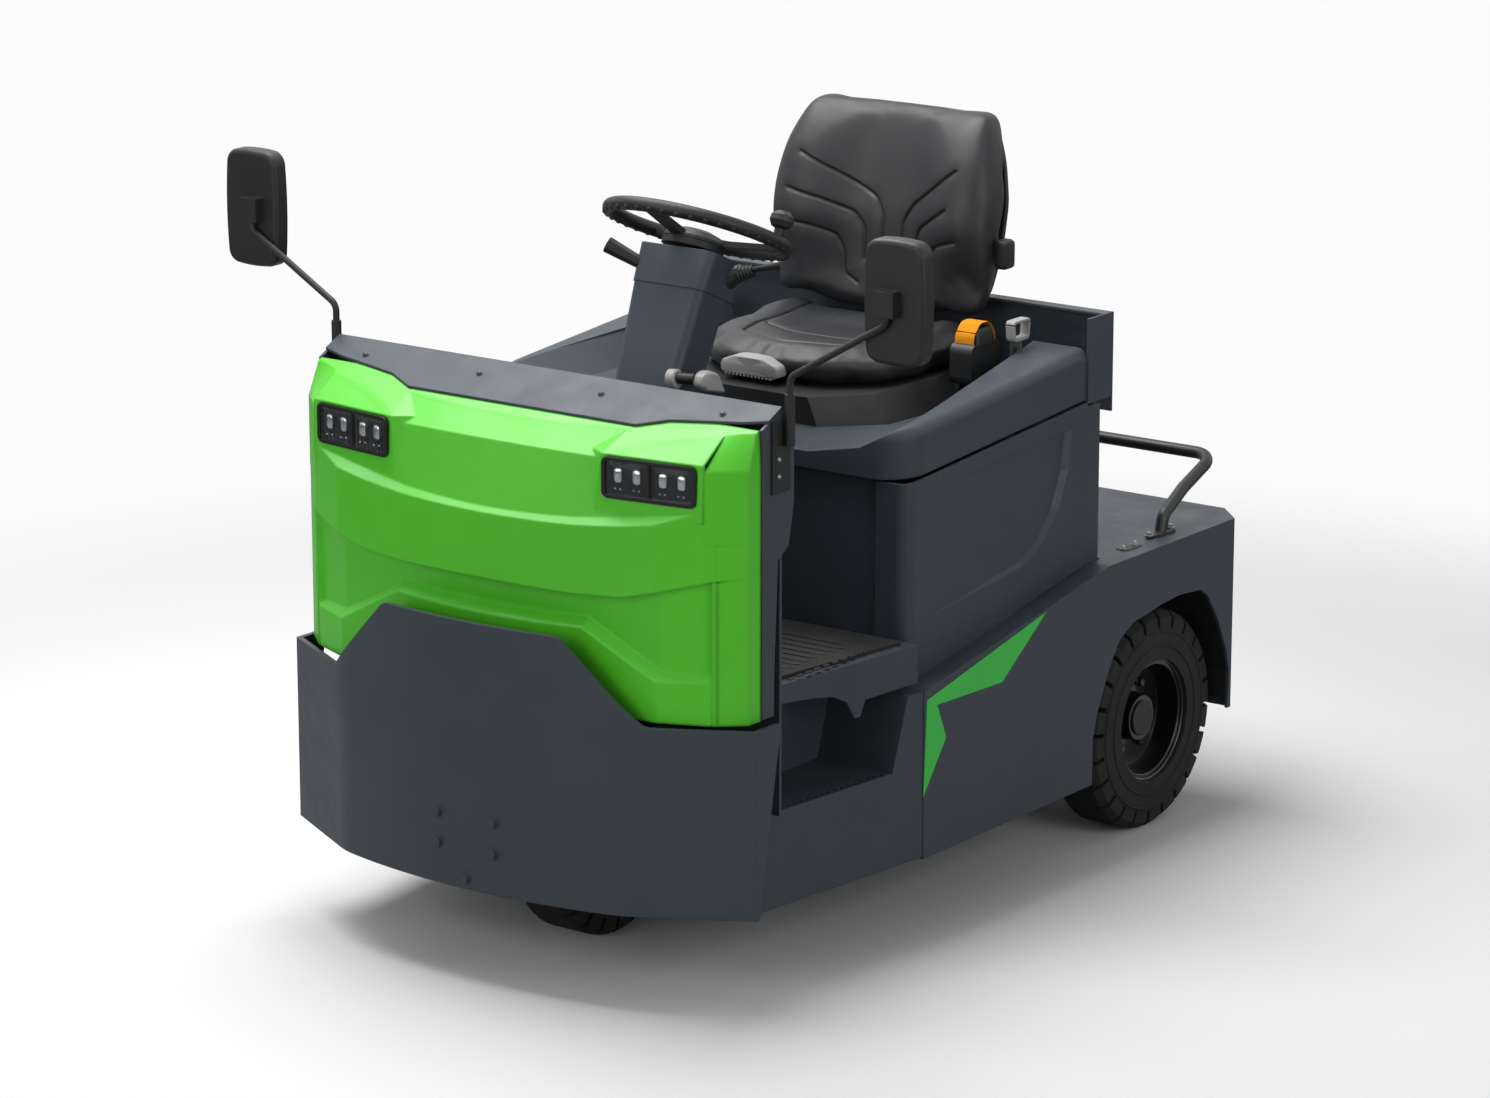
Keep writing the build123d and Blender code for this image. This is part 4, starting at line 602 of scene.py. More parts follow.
class Body(Enum):
    """Moving bodies of the frame that the pieces ride on."""

    CHASSIS = "chassis"
    HOOD = "hood"
    COLUMN = "column"
    WHEEL = "steering_wheel"
    REAR_LEFT = "rear_wheel_left"
    REAR_RIGHT = "rear_wheel_right"


def row(x: float, y: float, z: float) -> np.ndarray:
    """A place in the frame from one whose y counts from the dash plate's bolt line."""
    return np.array([x, y - DATUM_Y, z])


def span(node: str) -> tuple[np.ndarray, np.ndarray]:
    """Lowest and highest corner of a solid of the frame."""
    low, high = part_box(node)
    return np.array(low), np.array(high)


def coordinates(piece: bpy.types.Object) -> np.ndarray:
    """A piece's points.

    Args:
        piece: A mesh object.

    Returns:
        The points as count x 3.
    """
    flat = np.empty(len(piece.data.vertices) * 3)
    piece.data.vertices.foreach_get("co", flat)
    return flat.reshape(-1, 3)


def move_points(piece: bpy.types.Object, points: np.ndarray) -> None:
    """Writes a piece's points back."""
    piece.data.vertices.foreach_set("co", points.ravel())
    piece.data.update()


def bake(piece: bpy.types.Object) -> None:
    """Puts a piece's modifiers into its mesh.

    Args:
        piece: A mesh object with modifiers.
    """
    graph = bpy.context.evaluated_depsgraph_get()
    mesh = bpy.data.meshes.new_from_object(piece.evaluated_get(graph))
    piece.modifiers.clear()
    piece.data = mesh


def add_piece(name: str, shell: Shell, finish: Finish, body: Body,
              crease_deg: float = 35.0) -> bpy.types.Object:
    """Makes a piece of the visual from a shell.

    Args:
        name: The piece's name.
        shell: Its closed surface, in the frame.
        finish: Its surface finish.
        body: The body that it rides on.
        crease_deg: Edges sharper than this stay sharp.

    Returns:
        The piece.
    """
    mesh = bpy.data.meshes.new(name)
    mesh.from_pydata(shell.points.tolist(), [], shell.faces.tolist())
    mesh.polygons.foreach_set("use_smooth", np.ones(len(mesh.polygons), dtype=bool))
    mesh.set_sharp_from_angle(angle=math.radians(crease_deg))
    mesh.update()
    piece = bpy.data.objects.new(name, mesh)
    bpy.context.scene.collection.objects.link(piece)
    mesh.materials.append(material_of(finish))
    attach(piece, body.value)
    log.info("%s: %d triangles on %s", name, len(shell.faces), body.value)
    return piece


def dress_frame() -> None:
    """Gives every solid of the frame its finish."""
    for finish, names in NODE_FINISHES.items():
        material = material_of(finish)
        for name in names:
            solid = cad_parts[name]
            solid.data.materials.clear()
            solid.data.materials.append(material)
        log.info("%s on %d solids", finish.name, len(names))


@dataclass(frozen=True)
class SoftPad:
    """A padded piece: its start shape is swollen as cloth under pressure, then its seams are pressed in."""

    name: str
    node: str
    shell: Shell = field(hash=False)
    seams: tuple = field(hash=False)
    order: tuple[int, int, int]
    top_sign: float
    voxel_m: float = 0.005
    pressure: float = 4.0
    frames: int = 20
    cap_m: float = 0.010
    stiffness: float = 40.0
    relax_steps: int = 14
    seam_depth_m: float = 0.0042
    seam_half_m: float = 0.0028
    dimple_depth_m: float = 0.0018
    dimple_half_m: float = 0.012
    # Strength of the painted shade in the seams
    seam_shade: float = 0.85
    fill: float = 0.85
    past_low: tuple = (0.0, 0.0, 0.0)
    past_high: tuple = (0.0, 0.0, 0.0)

    def swell(self, piece: bpy.types.Object) -> None:
        """Blows the pad up as cloth and keeps each point's way under the cap.

        Args:
            piece: The pad, evenly meshed. Its mesh changes.
        """
        cloth = piece.modifiers.new("cover", "CLOTH")
        cloth.settings.use_pressure = True
        cloth.settings.uniform_pressure_force = self.pressure
        cloth.settings.effector_weights.gravity = 0.0
        cloth.settings.tension_stiffness = self.stiffness
        cloth.settings.compression_stiffness = self.stiffness
        cloth.settings.bending_stiffness = self.stiffness / 8
        cloth.point_cache.frame_end = self.frames
        rest = coordinates(piece)
        scene = bpy.context.scene
        for step in range(1, self.frames + 1):
            scene.frame_set(step)
        bake(piece)
        scene.frame_set(1)
        way = coordinates(piece) - rest
        length = np.linalg.norm(way, axis=1, keepdims=True)
        moved = rest + way * np.minimum(1.0, self.cap_m / np.maximum(length, 1e-9))
        low, high = span(self.node)
        move_points(piece, np.clip(moved, low - self.past_low, high + self.past_high))

    def press_seams(self, piece: bpy.types.Object) -> None:
        """Presses the seams in and marks them in the attribute "seam", which the vinyl turns into painted
        shade.

        A point at distance d from a seam sinks by depth * exp(-(d / half)^2), and the same again for
        a wide shallow dimple round it.

        Args:
            piece: The pad. Its mesh changes.
        """
        points = coordinates(piece)
        plan = points[:, self.order[:2]]
        height = points[:, self.order[2]]
        far_m = 1.0
        distance = np.full(len(points), far_m)
        for seam in self.seams:
            line = rounded(seam, 60, 0.03, closed=False)
            for start, end in zip(line[:-1], line[1:]):
                way = end - start
                share = np.clip(((plan - start) @ way) / (way @ way), 0, 1)
                distance = np.minimum(distance, np.linalg.norm(plan - start - share[:, None] * way, axis=1))
        outer = self.top_sign * (height - height.mean()) > 0
        sharp = np.exp(-(distance / self.seam_half_m) ** 2) * outer
        soft = np.exp(-(distance / self.dimple_half_m) ** 2) * outer
        points[:, self.order[2]] -= self.top_sign * (self.seam_depth_m * sharp + self.dimple_depth_m * soft)
        move_points(piece, points)
        # The seam mark carries the painted shade that darkens the seams
        mark = piece.data.attributes.new("seam", "FLOAT", "POINT")
        mark.data.foreach_set("value", (self.seam_shade * sharp).astype(np.float32))

    def build(self) -> bpy.types.Object:
        """Makes the pad in place of its solid.

        Returns:
            The finished pad.
        """
        piece = add_piece(self.name, self.shell, SEAT_VINYL, Body.HOOD, crease_deg=180.0)
        even = piece.modifiers.new("even_mesh", "REMESH")
        even.mode = "VOXEL"
        even.voxel_size = self.voxel_m
        bake(piece)
        self.swell(piece)
        relax = piece.modifiers.new("relax", "SMOOTH")
        relax.factor = 0.5
        relax.iterations = self.relax_steps
        fine = piece.modifiers.new("fine", "SUBSURF")
        fine.levels = 1
        fine.render_levels = 1
        bake(piece)
        self.press_seams(piece)
        piece.data.polygons.foreach_set("use_smooth", np.ones(len(piece.data.polygons), dtype=bool))
        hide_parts(self.node)
        log.info("%s: %d faces after the swelling", self.name, len(piece.data.polygons))
        return piece


@dataclass(frozen=True)
class Seat:
    """Driver's seat: cushion and backrest pads, the backrest's hard shell, recline knob and weight lever."""

    inset_m: float = 0.010
    hollow_m: float = 0.015
    rise_m: float = 0.014
    seam_share: float = 0.62
    tuck_m: float = 0.024
    sink_m: float = 0.010
    shell_m: float = 0.016
    ridges: int = 13
    hinge_y: float = 1.031 - DATUM_Y
    # Share of the backrest's height, then the bolsters' front, the middle's front and the shell's back
    profile: tuple = (
        (-0.02, -0.048, -0.030, 0.032), (0.18, -0.037, -0.004, 0.062), (0.45, -0.052, 0.008, 0.092),
        (0.75, -0.026, 0.046, 0.118), (0.92, 0.012, 0.070, 0.131), (1.02, 0.052, 0.084, 0.128),
    )
    backrest_seams: tuple = (
        ((-0.177, 1.275), (-0.093, 1.236), (-0.018, 1.200), (0.003, 1.167), (0.004, 1.120)),
        ((-0.194, 1.207), (-0.130, 1.192), (-0.060, 1.169), (-0.036, 1.141), (-0.033, 1.084)),
        ((-0.202, 1.148), (-0.140, 1.140), (-0.092, 1.126), (-0.076, 1.097), (-0.073, 1.053),
         (-0.044, 1.038)),
        ((0.176, 1.274), (0.122, 1.233), (0.071, 1.197), (0.050, 1.164), (0.049, 1.120)),
        ((0.164, 1.201), (0.128, 1.177), (0.097, 1.156), (0.090, 1.134), (0.088, 1.084)),
        ((0.190, 1.145), (0.144, 1.131), (0.131, 1.108), (0.128, 1.068), (0.110, 1.045)),
    )

    def cushion(self) -> SoftPad:
        """Cushion with a rolled front edge, low middle and sides that rise to the rear.

        Its top is z = high - hollow_m * h(x, y) + rise_m * w(x, y), where h is 1 in the middle and w
        is 1 at the rear of either side, both with smooth steps between.

        Returns:
            The pad before its swelling.
        """
        low, high = span("seat_cushion")
        half, front, back = high[0] - self.inset_m, low[1] + self.inset_m, high[1] + self.tuck_m
        right = [(0.5 * half, front + 0.012), (0.93 * half, front + 0.095), (half, front + 0.185),
                 (half, back)]
        left = [(-x, y) for x, y in right[::-1]]
        outline = rounded(left + [(0.0, front)] + right, 160, 0.10)

        def under(u: np.ndarray, v: np.ndarray) -> np.ndarray:
            """Flat underside."""
            return np.full_like(u, low[2] + 0.004)

        def over(u: np.ndarray, v: np.ndarray) -> np.ndarray:
            """Hollow top with wings.

            Args:
                u: Places along x.
                v: Places along y.

            Returns:
                The top's z.
            """
            hollow = (1 - smooth_step(np.abs(u), 0.06, 0.21)) * smooth_step(v, front + 0.05, front + 0.24)
            hollow *= 1 - 0.8 * smooth_step(v, back - 0.14, back - 0.05)
            wings = smooth_step(np.abs(u), 0.10, 0.21) * smooth_step(v, front + 0.20, back)
            return high[2] - 0.005 - self.hollow_m * hollow + self.rise_m * wings

        inner = self.seam_share * half
        seams = (((-inner, back - 0.03), (-inner, front + 0.19), (-0.8 * inner, front + 0.10),
                  (0.0, front + 0.062), (0.8 * inner, front + 0.10), (inner, front + 0.19),
                  (inner, back - 0.03)),
                 ((-0.9 * inner, front + 0.20), (-0.3 * inner, front + 0.175), (0.3 * inner, front + 0.175),
                  (0.9 * inner, front + 0.20)))
        shell = pillow(outline, under, over, 0.42)
        return SoftPad("seat_cushion_pad", "seat_cushion", shell, seams, (0, 1, 2), 1.0,
                       past_high=(0.0, self.tuck_m, self.rise_m))

    def depth(self, v: np.ndarray) -> tuple[np.ndarray, np.ndarray, np.ndarray]:
        """Bolsters' front, middle's front and shell's back over the height v.

        Each is the profile's polyline, smoothed by a Hann window.

        Args:
            v: Heights in the frame.

        Returns:
            The three depths, in the frame's y.
        """
        low, high = span("seat_back")
        share = (v - low[2]) / (high[2] - low[2])
        rows = np.array(self.profile)
        fine = np.linspace(rows[0, 0], rows[-1, 0], 80)
        window = np.hanning(19)[1:-1] / np.hanning(19)[1:-1].sum()
        curves = []
        for column in (1, 2, 3):
            raw = np.interp(fine, rows[:, 0], rows[:, column])
            padded = np.concatenate([2 * raw[0] - raw[8:0:-1], raw, 2 * raw[-1] - raw[-2:-10:-1]])
            curves.append(np.interp(share, fine, np.convolve(padded, window, "valid")))
        return tuple(self.hinge_y + curve for curve in curves)

    def outline(self, grow: float) -> np.ndarray:
        """The backrest from the front, its lower edge dipping to the cushion's middle.

        Args:
            grow: How far the outline stands out past the drawn one.

        Returns:
            Its x and z, count x 2.
        """
        low, high = span("seat_back")
        z0, z1 = low[2], high[2]
        right = [(0.0, z0 - 0.014), (0.10, z0 - 0.012), (0.165, z0 + 0.006), (0.240, z0 + 0.010),
                 (0.252, z0 + 0.12), (0.250, z0 + 0.24), (0.232, z0 + 0.33), (0.207, z1 + 0.002),
                 (0.10, z1 + 0.006), (0.0, z1 + 0.006)]
        left = [(-x, z) for x, z in right[-2:0:-1]]
        loop = rounded(right + left, 200, 0.07)
        middle = loop.mean(axis=0)
        size = loop.max(axis=0) - loop.min(axis=0)
        return middle + (loop - middle) * (1 + 2 * grow / size)

    def backrest(self) -> SoftPad:
        """Backrest with bolsters round a hollow middle, in front of its shell.

        Returns:
            The pad before its swelling.
        """

        def face(u: np.ndarray, v: np.ndarray) -> np.ndarray:
            """Front, which goes from the middle's depth to the bolsters' with |x|."""
            bolster, middle, _ = self.depth(v)
            return middle + (bolster - middle) * smooth_step(np.abs(u), 0.03, 0.21) + 0.006

        def rear(u: np.ndarray, v: np.ndarray) -> np.ndarray:
            """Rear, a little inside the hard shell."""
            return self.depth(v)[2] - 0.25 * self.shell_m

        shell = pillow(self.outline(-self.inset_m), face, rear, 0.45, (0, 2, 1))
        return SoftPad("seat_back_pad", "seat_back", shell, self.backrest_seams, (0, 2, 1), -1.0,
                       past_low=(0.0, 0.0, self.sink_m))

    def hard_shell(self) -> Shell:
        """Thin plastic shell on the backrest's rear.

        Returns:
            The closed shell.
        """

        def face(u: np.ndarray, v: np.ndarray) -> np.ndarray:
            """Front, inside the pad."""
            return self.depth(v)[2] - self.shell_m

        def rear(u: np.ndarray, v: np.ndarray) -> np.ndarray:
            """Rear, just inside the solid's."""
            return self.depth(v)[2] - 0.002

        loop = self.outline(-0.022)
        top = loop[:, 1].max()
        loop[:, 1] = top - 0.03 - (top - loop[:, 1]) * 0.88
        return pillow(loop, face, rear, 0.3, (0, 2, 1))

    def build(self) -> None:
        """Builds the seat's pieces."""
        self.cushion().build()
        self.backrest().build()
        add_piece("seat_back_shell", self.hard_shell(), BLACK_PLASTIC, Body.HOOD)
        knob = slab(box_outline(0.034, 0.056, 0.02), row(0.250, 1.062, 1.122), (0, 1, 0), (0, 0, 1),
                    [(-0.002, 0.8), (0.004, 1.0), (0.018, 1.0), (0.024, 0.9), (0.026, 0.6)])
        add_piece("recline_knob", knob, BLACK_PLASTIC, Body.HOOD)
        self.build_weight_lever()

    def build_weight_lever(self) -> None:
        """Light grey arched handle under the cushion's front, with grip ridges below."""
        low, _ = span("seat_cushion")
        arch = rounded([(-0.065, -0.016), (-0.066, 0.006), (-0.03, 0.020), (0.03, 0.020), (0.066, 0.006),
                        (0.065, -0.016)], 80, 0.022)
        place = (-0.019, low[1] + 0.018, low[2] + 0.028)
        handle = slab(arch, place, (1, 0, 0), (0, 0, 1),
                      [(-0.02, 0.96), (-0.004, 1.0), (0.016, 1.0), (0.021, 0.96), (0.023, 0.86)])
        first = (place[0] - 0.05, place[1] - 0.021, place[2] - 0.0165)
        ridge = slab(box_outline(0.004, 0.004, 0.002, 16), first, (1, 0, 0), (0, 0, 1),
                     [(-0.03, 1.0), (0.002, 1.0)])
        steps = np.zeros((self.ridges, 3))
        steps[:, 0] = np.linspace(0, 0.10, self.ridges)
        lever = Shell.joined([handle, ridge.copies(steps)])
        add_piece("weight_lever", lever, GREY_PLASTIC, Body.HOOD)


@dataclass(frozen=True)
class Belt:
    """Belt's webbing over its reel, the grip and the slotted tongue."""

    width_m: float = 0.046
    thick_m: float = 0.0016
    # The webbing's way over the reel, y and z from the middle of the reel's top
    arch: tuple = ((-0.034, -0.016), (-0.034, 0.014), (-0.014, 0.036), (0.016, 0.036), (0.034, 0.016),
                   (0.036, -0.010))
    grip: tuple = ((0.0, -0.022, 0.0), (0.0, 0.022, 0.0), (0.0, 0.026, 0.034), (0.0, -0.026, 0.034))
    tongue_m: tuple[float, float, float] = (0.026, 0.046, 0.0024)
    slot_share: float = 0.38

    def build(self) -> None:
        """Builds the belt from the reel's box."""
        low, high = span("belt_retractor")
        x, y, z = (low[0] + high[0]) / 2, (low[1] + high[1]) / 2, high[2]
        arch = rounded([(x, y + ahead, z + up) for ahead, up in self.arch], 60, 0.03, closed=False)
        strip = box_outline(self.width_m, self.thick_m, 0.001, 24)
        add_piece("belt_webbing", swept(arch, strip, (0, 0.6, 0.8)), BELT_WEBBING, Body.HOOD)
        throat = slab(box_outline(0.05, 0.056, 0.012), (x, y, z - 0.004), (1, 0, 0), (0, 1, 0),
                      [(0.0, 1.05), (0.014, 1.0), (0.026, 0.9), (0.030, 0.8)])
        add_piece("belt_throat", throat, BLACK_PLASTIC, Body.HOOD)
        grip_loop = rounded(list(self.grip), 48, 0.014)
        grip_path = np.vstack([grip_loop, grip_loop[:1]]) + (high[0] + 0.032, y + 0.058, z)
        grip = swept(grip_path, box_outline(0.020, 0.006, 0.004, 24), (0, 0.02, 1.0))
        add_piece("belt_grip", grip, GREY_PLASTIC, Body.HOOD)
        self.build_tongue((high[0] + 0.030, y + 0.052, z - 0.002))

    def build_tongue(self, top: tuple[float, float, float]) -> None:
        """Steel tongue hanging from the grip, a plate round a slot.

        Args:
            top: Where it hangs from.
        """
        width, length, thick = self.tongue_m
        outer = box_outline(width, length, 0.008, 48)
        inner = self.slot_share * outer
        rings = []
        for outline, depth in ((inner, 0.0), (outer, 0.0), (outer, thick), (inner, thick), (inner, 0.0)):
            flat = np.stack([outline[:, 0], np.full(len(outline), depth), outline[:, 1] - 0.022], -1)
            rings.append(flat + top)
        points = np.concatenate(rings)
        plate = Shell(points, ring_faces(len(rings), len(outer))).outward()
        add_piece("belt_tongue", plate, ZINC_STEEL, Body.HOOD)


@dataclass(frozen=True)
class LampOptics:
    """Reflector pair and clear cover in each of a lamp's two recesses."""

    rim_m: float = 0.007
    gap_m: float = 0.005
    recess_m: float = 0.005
    slope: float = 25.0 / 181.0
    dome: tuple = ((-0.0005, 1.0), (0.0008, 0.97), (0.0018, 0.88), (0.0025, 0.7), (0.0029, 0.45),
                   (0.003, 0.2))
    spot: tuple = ((-0.0005, 0.0022), (0.001, 0.0020), (0.002, 0.0012))

    def optics(self, x0: float, x1: float, face_y: float, low_z: float, high_z: float) -> tuple[Shell, Shell]:
        """Twin oval lens domes, four small ones under them and their cover.

        Args:
            x0: One side of the recess.
            x1: Its other side.
            face_y: Where the recess's floor lies at its middle.
            low_z: The recess's foot.
            high_z: Its top.

        Returns:
            The domes and the cover.
        """
        middle_x, middle_z = (x0 + x1) / 2, (low_z + high_z) / 2
        width, height = x1 - x0, high_z - low_z
        along, up = (1, self.slope, 0), (0, 0, 1)
        oval = box_outline(0.20 * width, 0.46 * height, 0.022)
        bowls = []
        for side in (-1, 1):
            shift = side * width * 0.22
            centre = np.array([middle_x + shift, face_y + self.slope * shift, middle_z])
            bowls.append(slab(oval, centre + (0, 0, 0.08 * height), along, up, list(self.dome)))
            for step in (-0.07, 0.07):
                place = centre + (step * width, 0, -0.32 * height)
                bowls.append(turned(list(self.spot), place, (0.13, -1, 0), 12))
        cover = slab(box_outline(width - 0.001, height - 0.001, 0.008), (middle_x, face_y - 0.0035, middle_z),
                     along, up, [(-0.0005, 1.0), (0.0008, 1.0), (0.0012, 0.97)])
        return Shell.joined(bowls), cover

    def build(self) -> None:
        """Fills the recesses of both lamps."""
        low, high = span("lamp_left")
        middle = (low[0] + high[0]) / 2
        recesses = ((low[0] + self.rim_m, middle - self.gap_m / 2),
                    (middle + self.gap_m / 2, high[0] - self.rim_m))
        bowls, covers = [], []
        for x0, x1 in recesses:
            face_y = low[1] + self.slope * ((x0 + x1) / 2 - low[0]) + self.recess_m
            bowl, cover = self.optics(x0, x1, face_y, low[2] + self.rim_m, high[2] - self.rim_m)
            bowls.append(bowl)
            covers.append(cover)
        bowl, cover = Shell.joined(bowls), Shell.joined(covers)
        for side, optic, lens in (("left", bowl, cover), ("right", bowl.mirrored(), cover.mirrored())):
            add_piece(f"lamp_bowls_{side}", optic, REFLECTOR, Body.CHASSIS)
            add_piece(f"lamp_cover_{side}", lens, LAMP_GLASS, Body.CHASSIS)


@dataclass(frozen=True)
class Mirrors:
    """Silvered glass in the rear face of each mirror."""

    width_m: float = 0.104
    height_m: float = 0.196
    corner_m: float = 0.034
    centre: tuple[float, float, float] = (0.707, 0.0815, 1.255)
    edge: tuple = ((-0.0004, 1.0), (0.0008, 1.0), (0.0012, 0.98), (0.0012, 0.95), (0.0012, 0.6))

    def build(self) -> None:
        """Sets a glass into both mirrors."""
        glass = slab(box_outline(self.width_m, self.height_m, self.corner_m, 64), row(*self.centre),
                     (-1, 0, 0), (0, 0, 1), list(self.edge))
        add_piece("mirror_glass_left", glass, MIRROR_GLASS, Body.CHASSIS)
        add_piece("mirror_glass_right", glass.mirrored(), MIRROR_GLASS, Body.CHASSIS)


@dataclass(frozen=True)
class FloorMat:
    """Ribs across the mat and a broken rib along its sides."""

    pitch_m: float = 0.026
    rib_m: float = 0.012
    rise_m: float = 0.0022
    margin_m: float = 0.034
    sink_m: float = 0.0005
    dash_m: tuple[float, float] = (0.008, 0.018)
    dash_edge_m: float = 0.015

    def build(self) -> None:
        """Builds all ribs as one piece."""
        low, high = span("floor_mat")
        half = high[0] - self.margin_m
        count = int((high[1] - low[1] - 2 * self.margin_m) / self.pitch_m)
        first_y, foot_z = low[1] + self.margin_m + 0.01, high[2] - self.sink_m
        rib = slab(box_outline(2 * half, self.rib_m, 0.006, 40), (0, first_y, foot_z), (1, 0, 0), (0, 1, 0),
                   [(0.0, 1.0), (self.rise_m * 0.7, 1.0), (self.rise_m, 0.985)])
        dash = slab(box_outline(*self.dash_m, 0.004, 24), (high[0] - self.dash_edge_m, first_y, foot_z),
                    (1, 0, 0), (0, 1, 0), [(0.0, 1.0), (self.rise_m, 0.9)])
        steps = np.zeros((count, 3))
        steps[:, 1] = self.pitch_m * np.arange(count)
        dashes = Shell.joined([dash, dash.mirrored()])
        ribs = Shell.joined([rib.copies(steps), dashes.copies(steps)])
        add_piece("mat_ribs", ribs, MAT_RUBBER, Body.CHASSIS)


@dataclass(frozen=True)
class BatterySill:
    """Thin sheet that carries the battery body's side on down behind the skirt, both sides."""

    top_z: float = 0.5245
    foot_z: float = 0.448
    inner_x: float = 0.40
    rear_y: float = 0.80 - DATUM_Y
    sheet_m: float = 0.0012
    stand_off_m: float = 0.0009
    bend_m: float = 0.04

    def build(self) -> None:
        """Bends the sheet round the body's front corner."""
        low, high = span("battery_body")
        side_x, front_y = high[0] + self.stand_off_m, low[1] - self.stand_off_m
        middle_z = (self.top_z + self.foot_z) / 2
        path = rounded([(self.inner_x, front_y, middle_z), (side_x, front_y, middle_z),
                        (side_x, self.rear_y, middle_z)], 160, self.bend_m, closed=False)
        thick, tall = self.sheet_m / 2, (self.top_z - self.foot_z) / 2
        section = np.array([(-thick, -tall), (thick, -tall), (thick, tall), (-thick, tall)])
        sheet = swept(path, section, (0, 0, 1))
        both = Shell.joined([sheet, sheet.mirrored()])
        add_piece("battery_sills", both, SLATE_COAT, Body.CHASSIS)


@dataclass(frozen=True)
class WheelTrim:
    """Rolled double edge of the rear rims and the moulded rings of their tyres' sides.

    A ring's row is its radius, its shift outward and the radius of its section.
    """

    flange_rings: tuple = ((0.1170, -0.0006, 0.0030), (0.1085, -0.0040, 0.0024))
    side_rings: tuple = ((0.1720, -0.0010, 0.0026), (0.1440, 0.0, 0.0022))
    steps_round: int = 96
    section_steps: int = 12

    def rings(self, rows: tuple, face_x: float, centre: np.ndarray) -> Shell:
        """Round rings about the axle: a circle carried along a circle.

        Args:
            rows: A row for each ring.
            face_x: Where the shift counts from.
            centre: A point on the axle.

        Returns:
            All rings as one shell.
        """
        angle = np.linspace(0, 2 * np.pi, self.steps_round + 1)
        turn = np.linspace(0, 2 * np.pi, self.section_steps, endpoint=False)
        made = []
        for radius, shift, thick in rows:
            path = np.stack([np.full(len(angle), face_x + shift), centre[1] + radius * np.cos(angle),
                             centre[2] + radius * np.sin(angle)], -1)
            made.append(swept(path, thick * np.stack([np.cos(turn), np.sin(turn)], -1), (1, 0, 0)))
        return Shell.joined(made)

    def build(self) -> None:
        """Sets the rings on both rear wheels."""
        _, rim_high = span("rear_rim_left")
        tyre_low, tyre_high = span("rear_tyre_left")
        centre = (tyre_low + tyre_high) / 2
        edge = self.rings(self.flange_rings, rim_high[0], centre)
        band = self.rings(self.side_rings, tyre_high[0], centre)
        add_piece("rim_edges_left", edge, RIM_ENAMEL, Body.REAR_LEFT)
        add_piece("tyre_side_rings_left", band, TYRE_RUBBER, Body.REAR_LEFT)
        add_piece("rim_edges_right", edge.mirrored(), RIM_ENAMEL, Body.REAR_RIGHT)
        add_piece("tyre_side_rings_right", band.mirrored(), TYRE_RUBBER, Body.REAR_RIGHT)


@dataclass(frozen=True)
class Bolts:
    """Flanged dome bolts and hexagon bolts of the sheet metal, and the oval covers on the deck.

    Places count along y from the dash plate's bolt line.
    """

    dash_x: tuple[float, float] = (0.135, 0.395)
    dash_z: float = 1.0342
    dash_axis: tuple[float, float, float] = (0, -0.43, 0.9)
    dash_r: float = 0.0052
    bracket: tuple = ((0.494, 0.025, 0.934), (0.494, 0.025, 0.964))
    bracket_r: float = 0.0035
    flange_x: float = 0.4635
    flange_y: tuple[float, float] = (1.263, 1.341)
    flange_m: float = 0.005
    flange_r: float = 0.0055
    cover_place: tuple[float, float] = (0.4695, 1.1845)
    cover_m: tuple[float, float] = (0.030, 0.062)
    cover_bolts_y: tuple[float, float] = (1.164, 1.205)
    cover_r: float = 0.0042

    def dome(self, place: np.ndarray, axis: tuple, radius: float) -> Shell:
        """Low domed head on a flange, a turned profile.

        Args:
            place: Where it stands on the sheet.
            axis: Which way it points.
            radius: Radius of its head.

        Returns:
            The closed shell.
        """
        profile = [(-0.001, radius * 1.25), (0.0012, radius * 1.25), (0.0014, radius),
                   (0.0030, radius * 0.92), (0.0042, radius * 0.6), (0.0046, radius * 0.2)]
        return turned(profile, place, axis, 20)

    def hexagon(self, place: np.ndarray, radius: float) -> Shell:
        """Hexagon head on a washer, upright.

        Args:
            place: Where it stands on the sheet.
            radius: Radius of its head over corners.

        Returns:
            Both as one shell.
        """
        upright = (0, 0, 1)
        washer = turned([(-0.001, radius * 1.5), (0.0016, radius * 1.5)], place, upright, 24)
        head = turned([(0.0, radius), (0.0062, radius), (0.0072, radius * 0.85)], place, upright, 6)
        return Shell.joined([washer, head])

    def set_both(self, name: str, shells: list[Shell], finish: Finish) -> None:
        """Adds shells and their mirror images as one piece of the chassis.

        Args:
            name: The piece's name.
            shells: The shells on the left.
            finish: Their finish.
        """
        left = Shell.joined(shells)
        add_piece(name, Shell.joined([left, left.mirrored()]), finish, Body.CHASSIS)

    def build(self) -> None:
        """Sets the bolts and covers, left and right."""
        deck_z = span("rear_deck")[1][2]
        heads = [self.dome(row(x, 0.0, self.dash_z), self.dash_axis, self.dash_r) for x in self.dash_x]
        screws = [self.dome(row(*place), (1, 0, 0), self.bracket_r) for place in self.bracket]
        screws += [self.hexagon(row(self.flange_x, y, deck_z + self.flange_m), self.flange_r)
                   for y in self.flange_y]
        screws += [self.hexagon(row(self.cover_place[0], y, deck_z + 0.001), self.cover_r)
                   for y in self.cover_bolts_y]
        cover = slab(box_outline(*self.cover_m, 0.03), row(*self.cover_place, deck_z), (1, 0, 0), (0, 1, 0),
                     [(-0.0004, 1.0), (0.0012, 1.0), (0.0016, 0.95)])
        self.set_both("deck_covers", [cover], BLACK_PLASTIC)
        self.set_both("sheet_bolts", heads, DARK_BOLT)
        self.set_both("clamp_screws", screws, ZINC_STEEL)


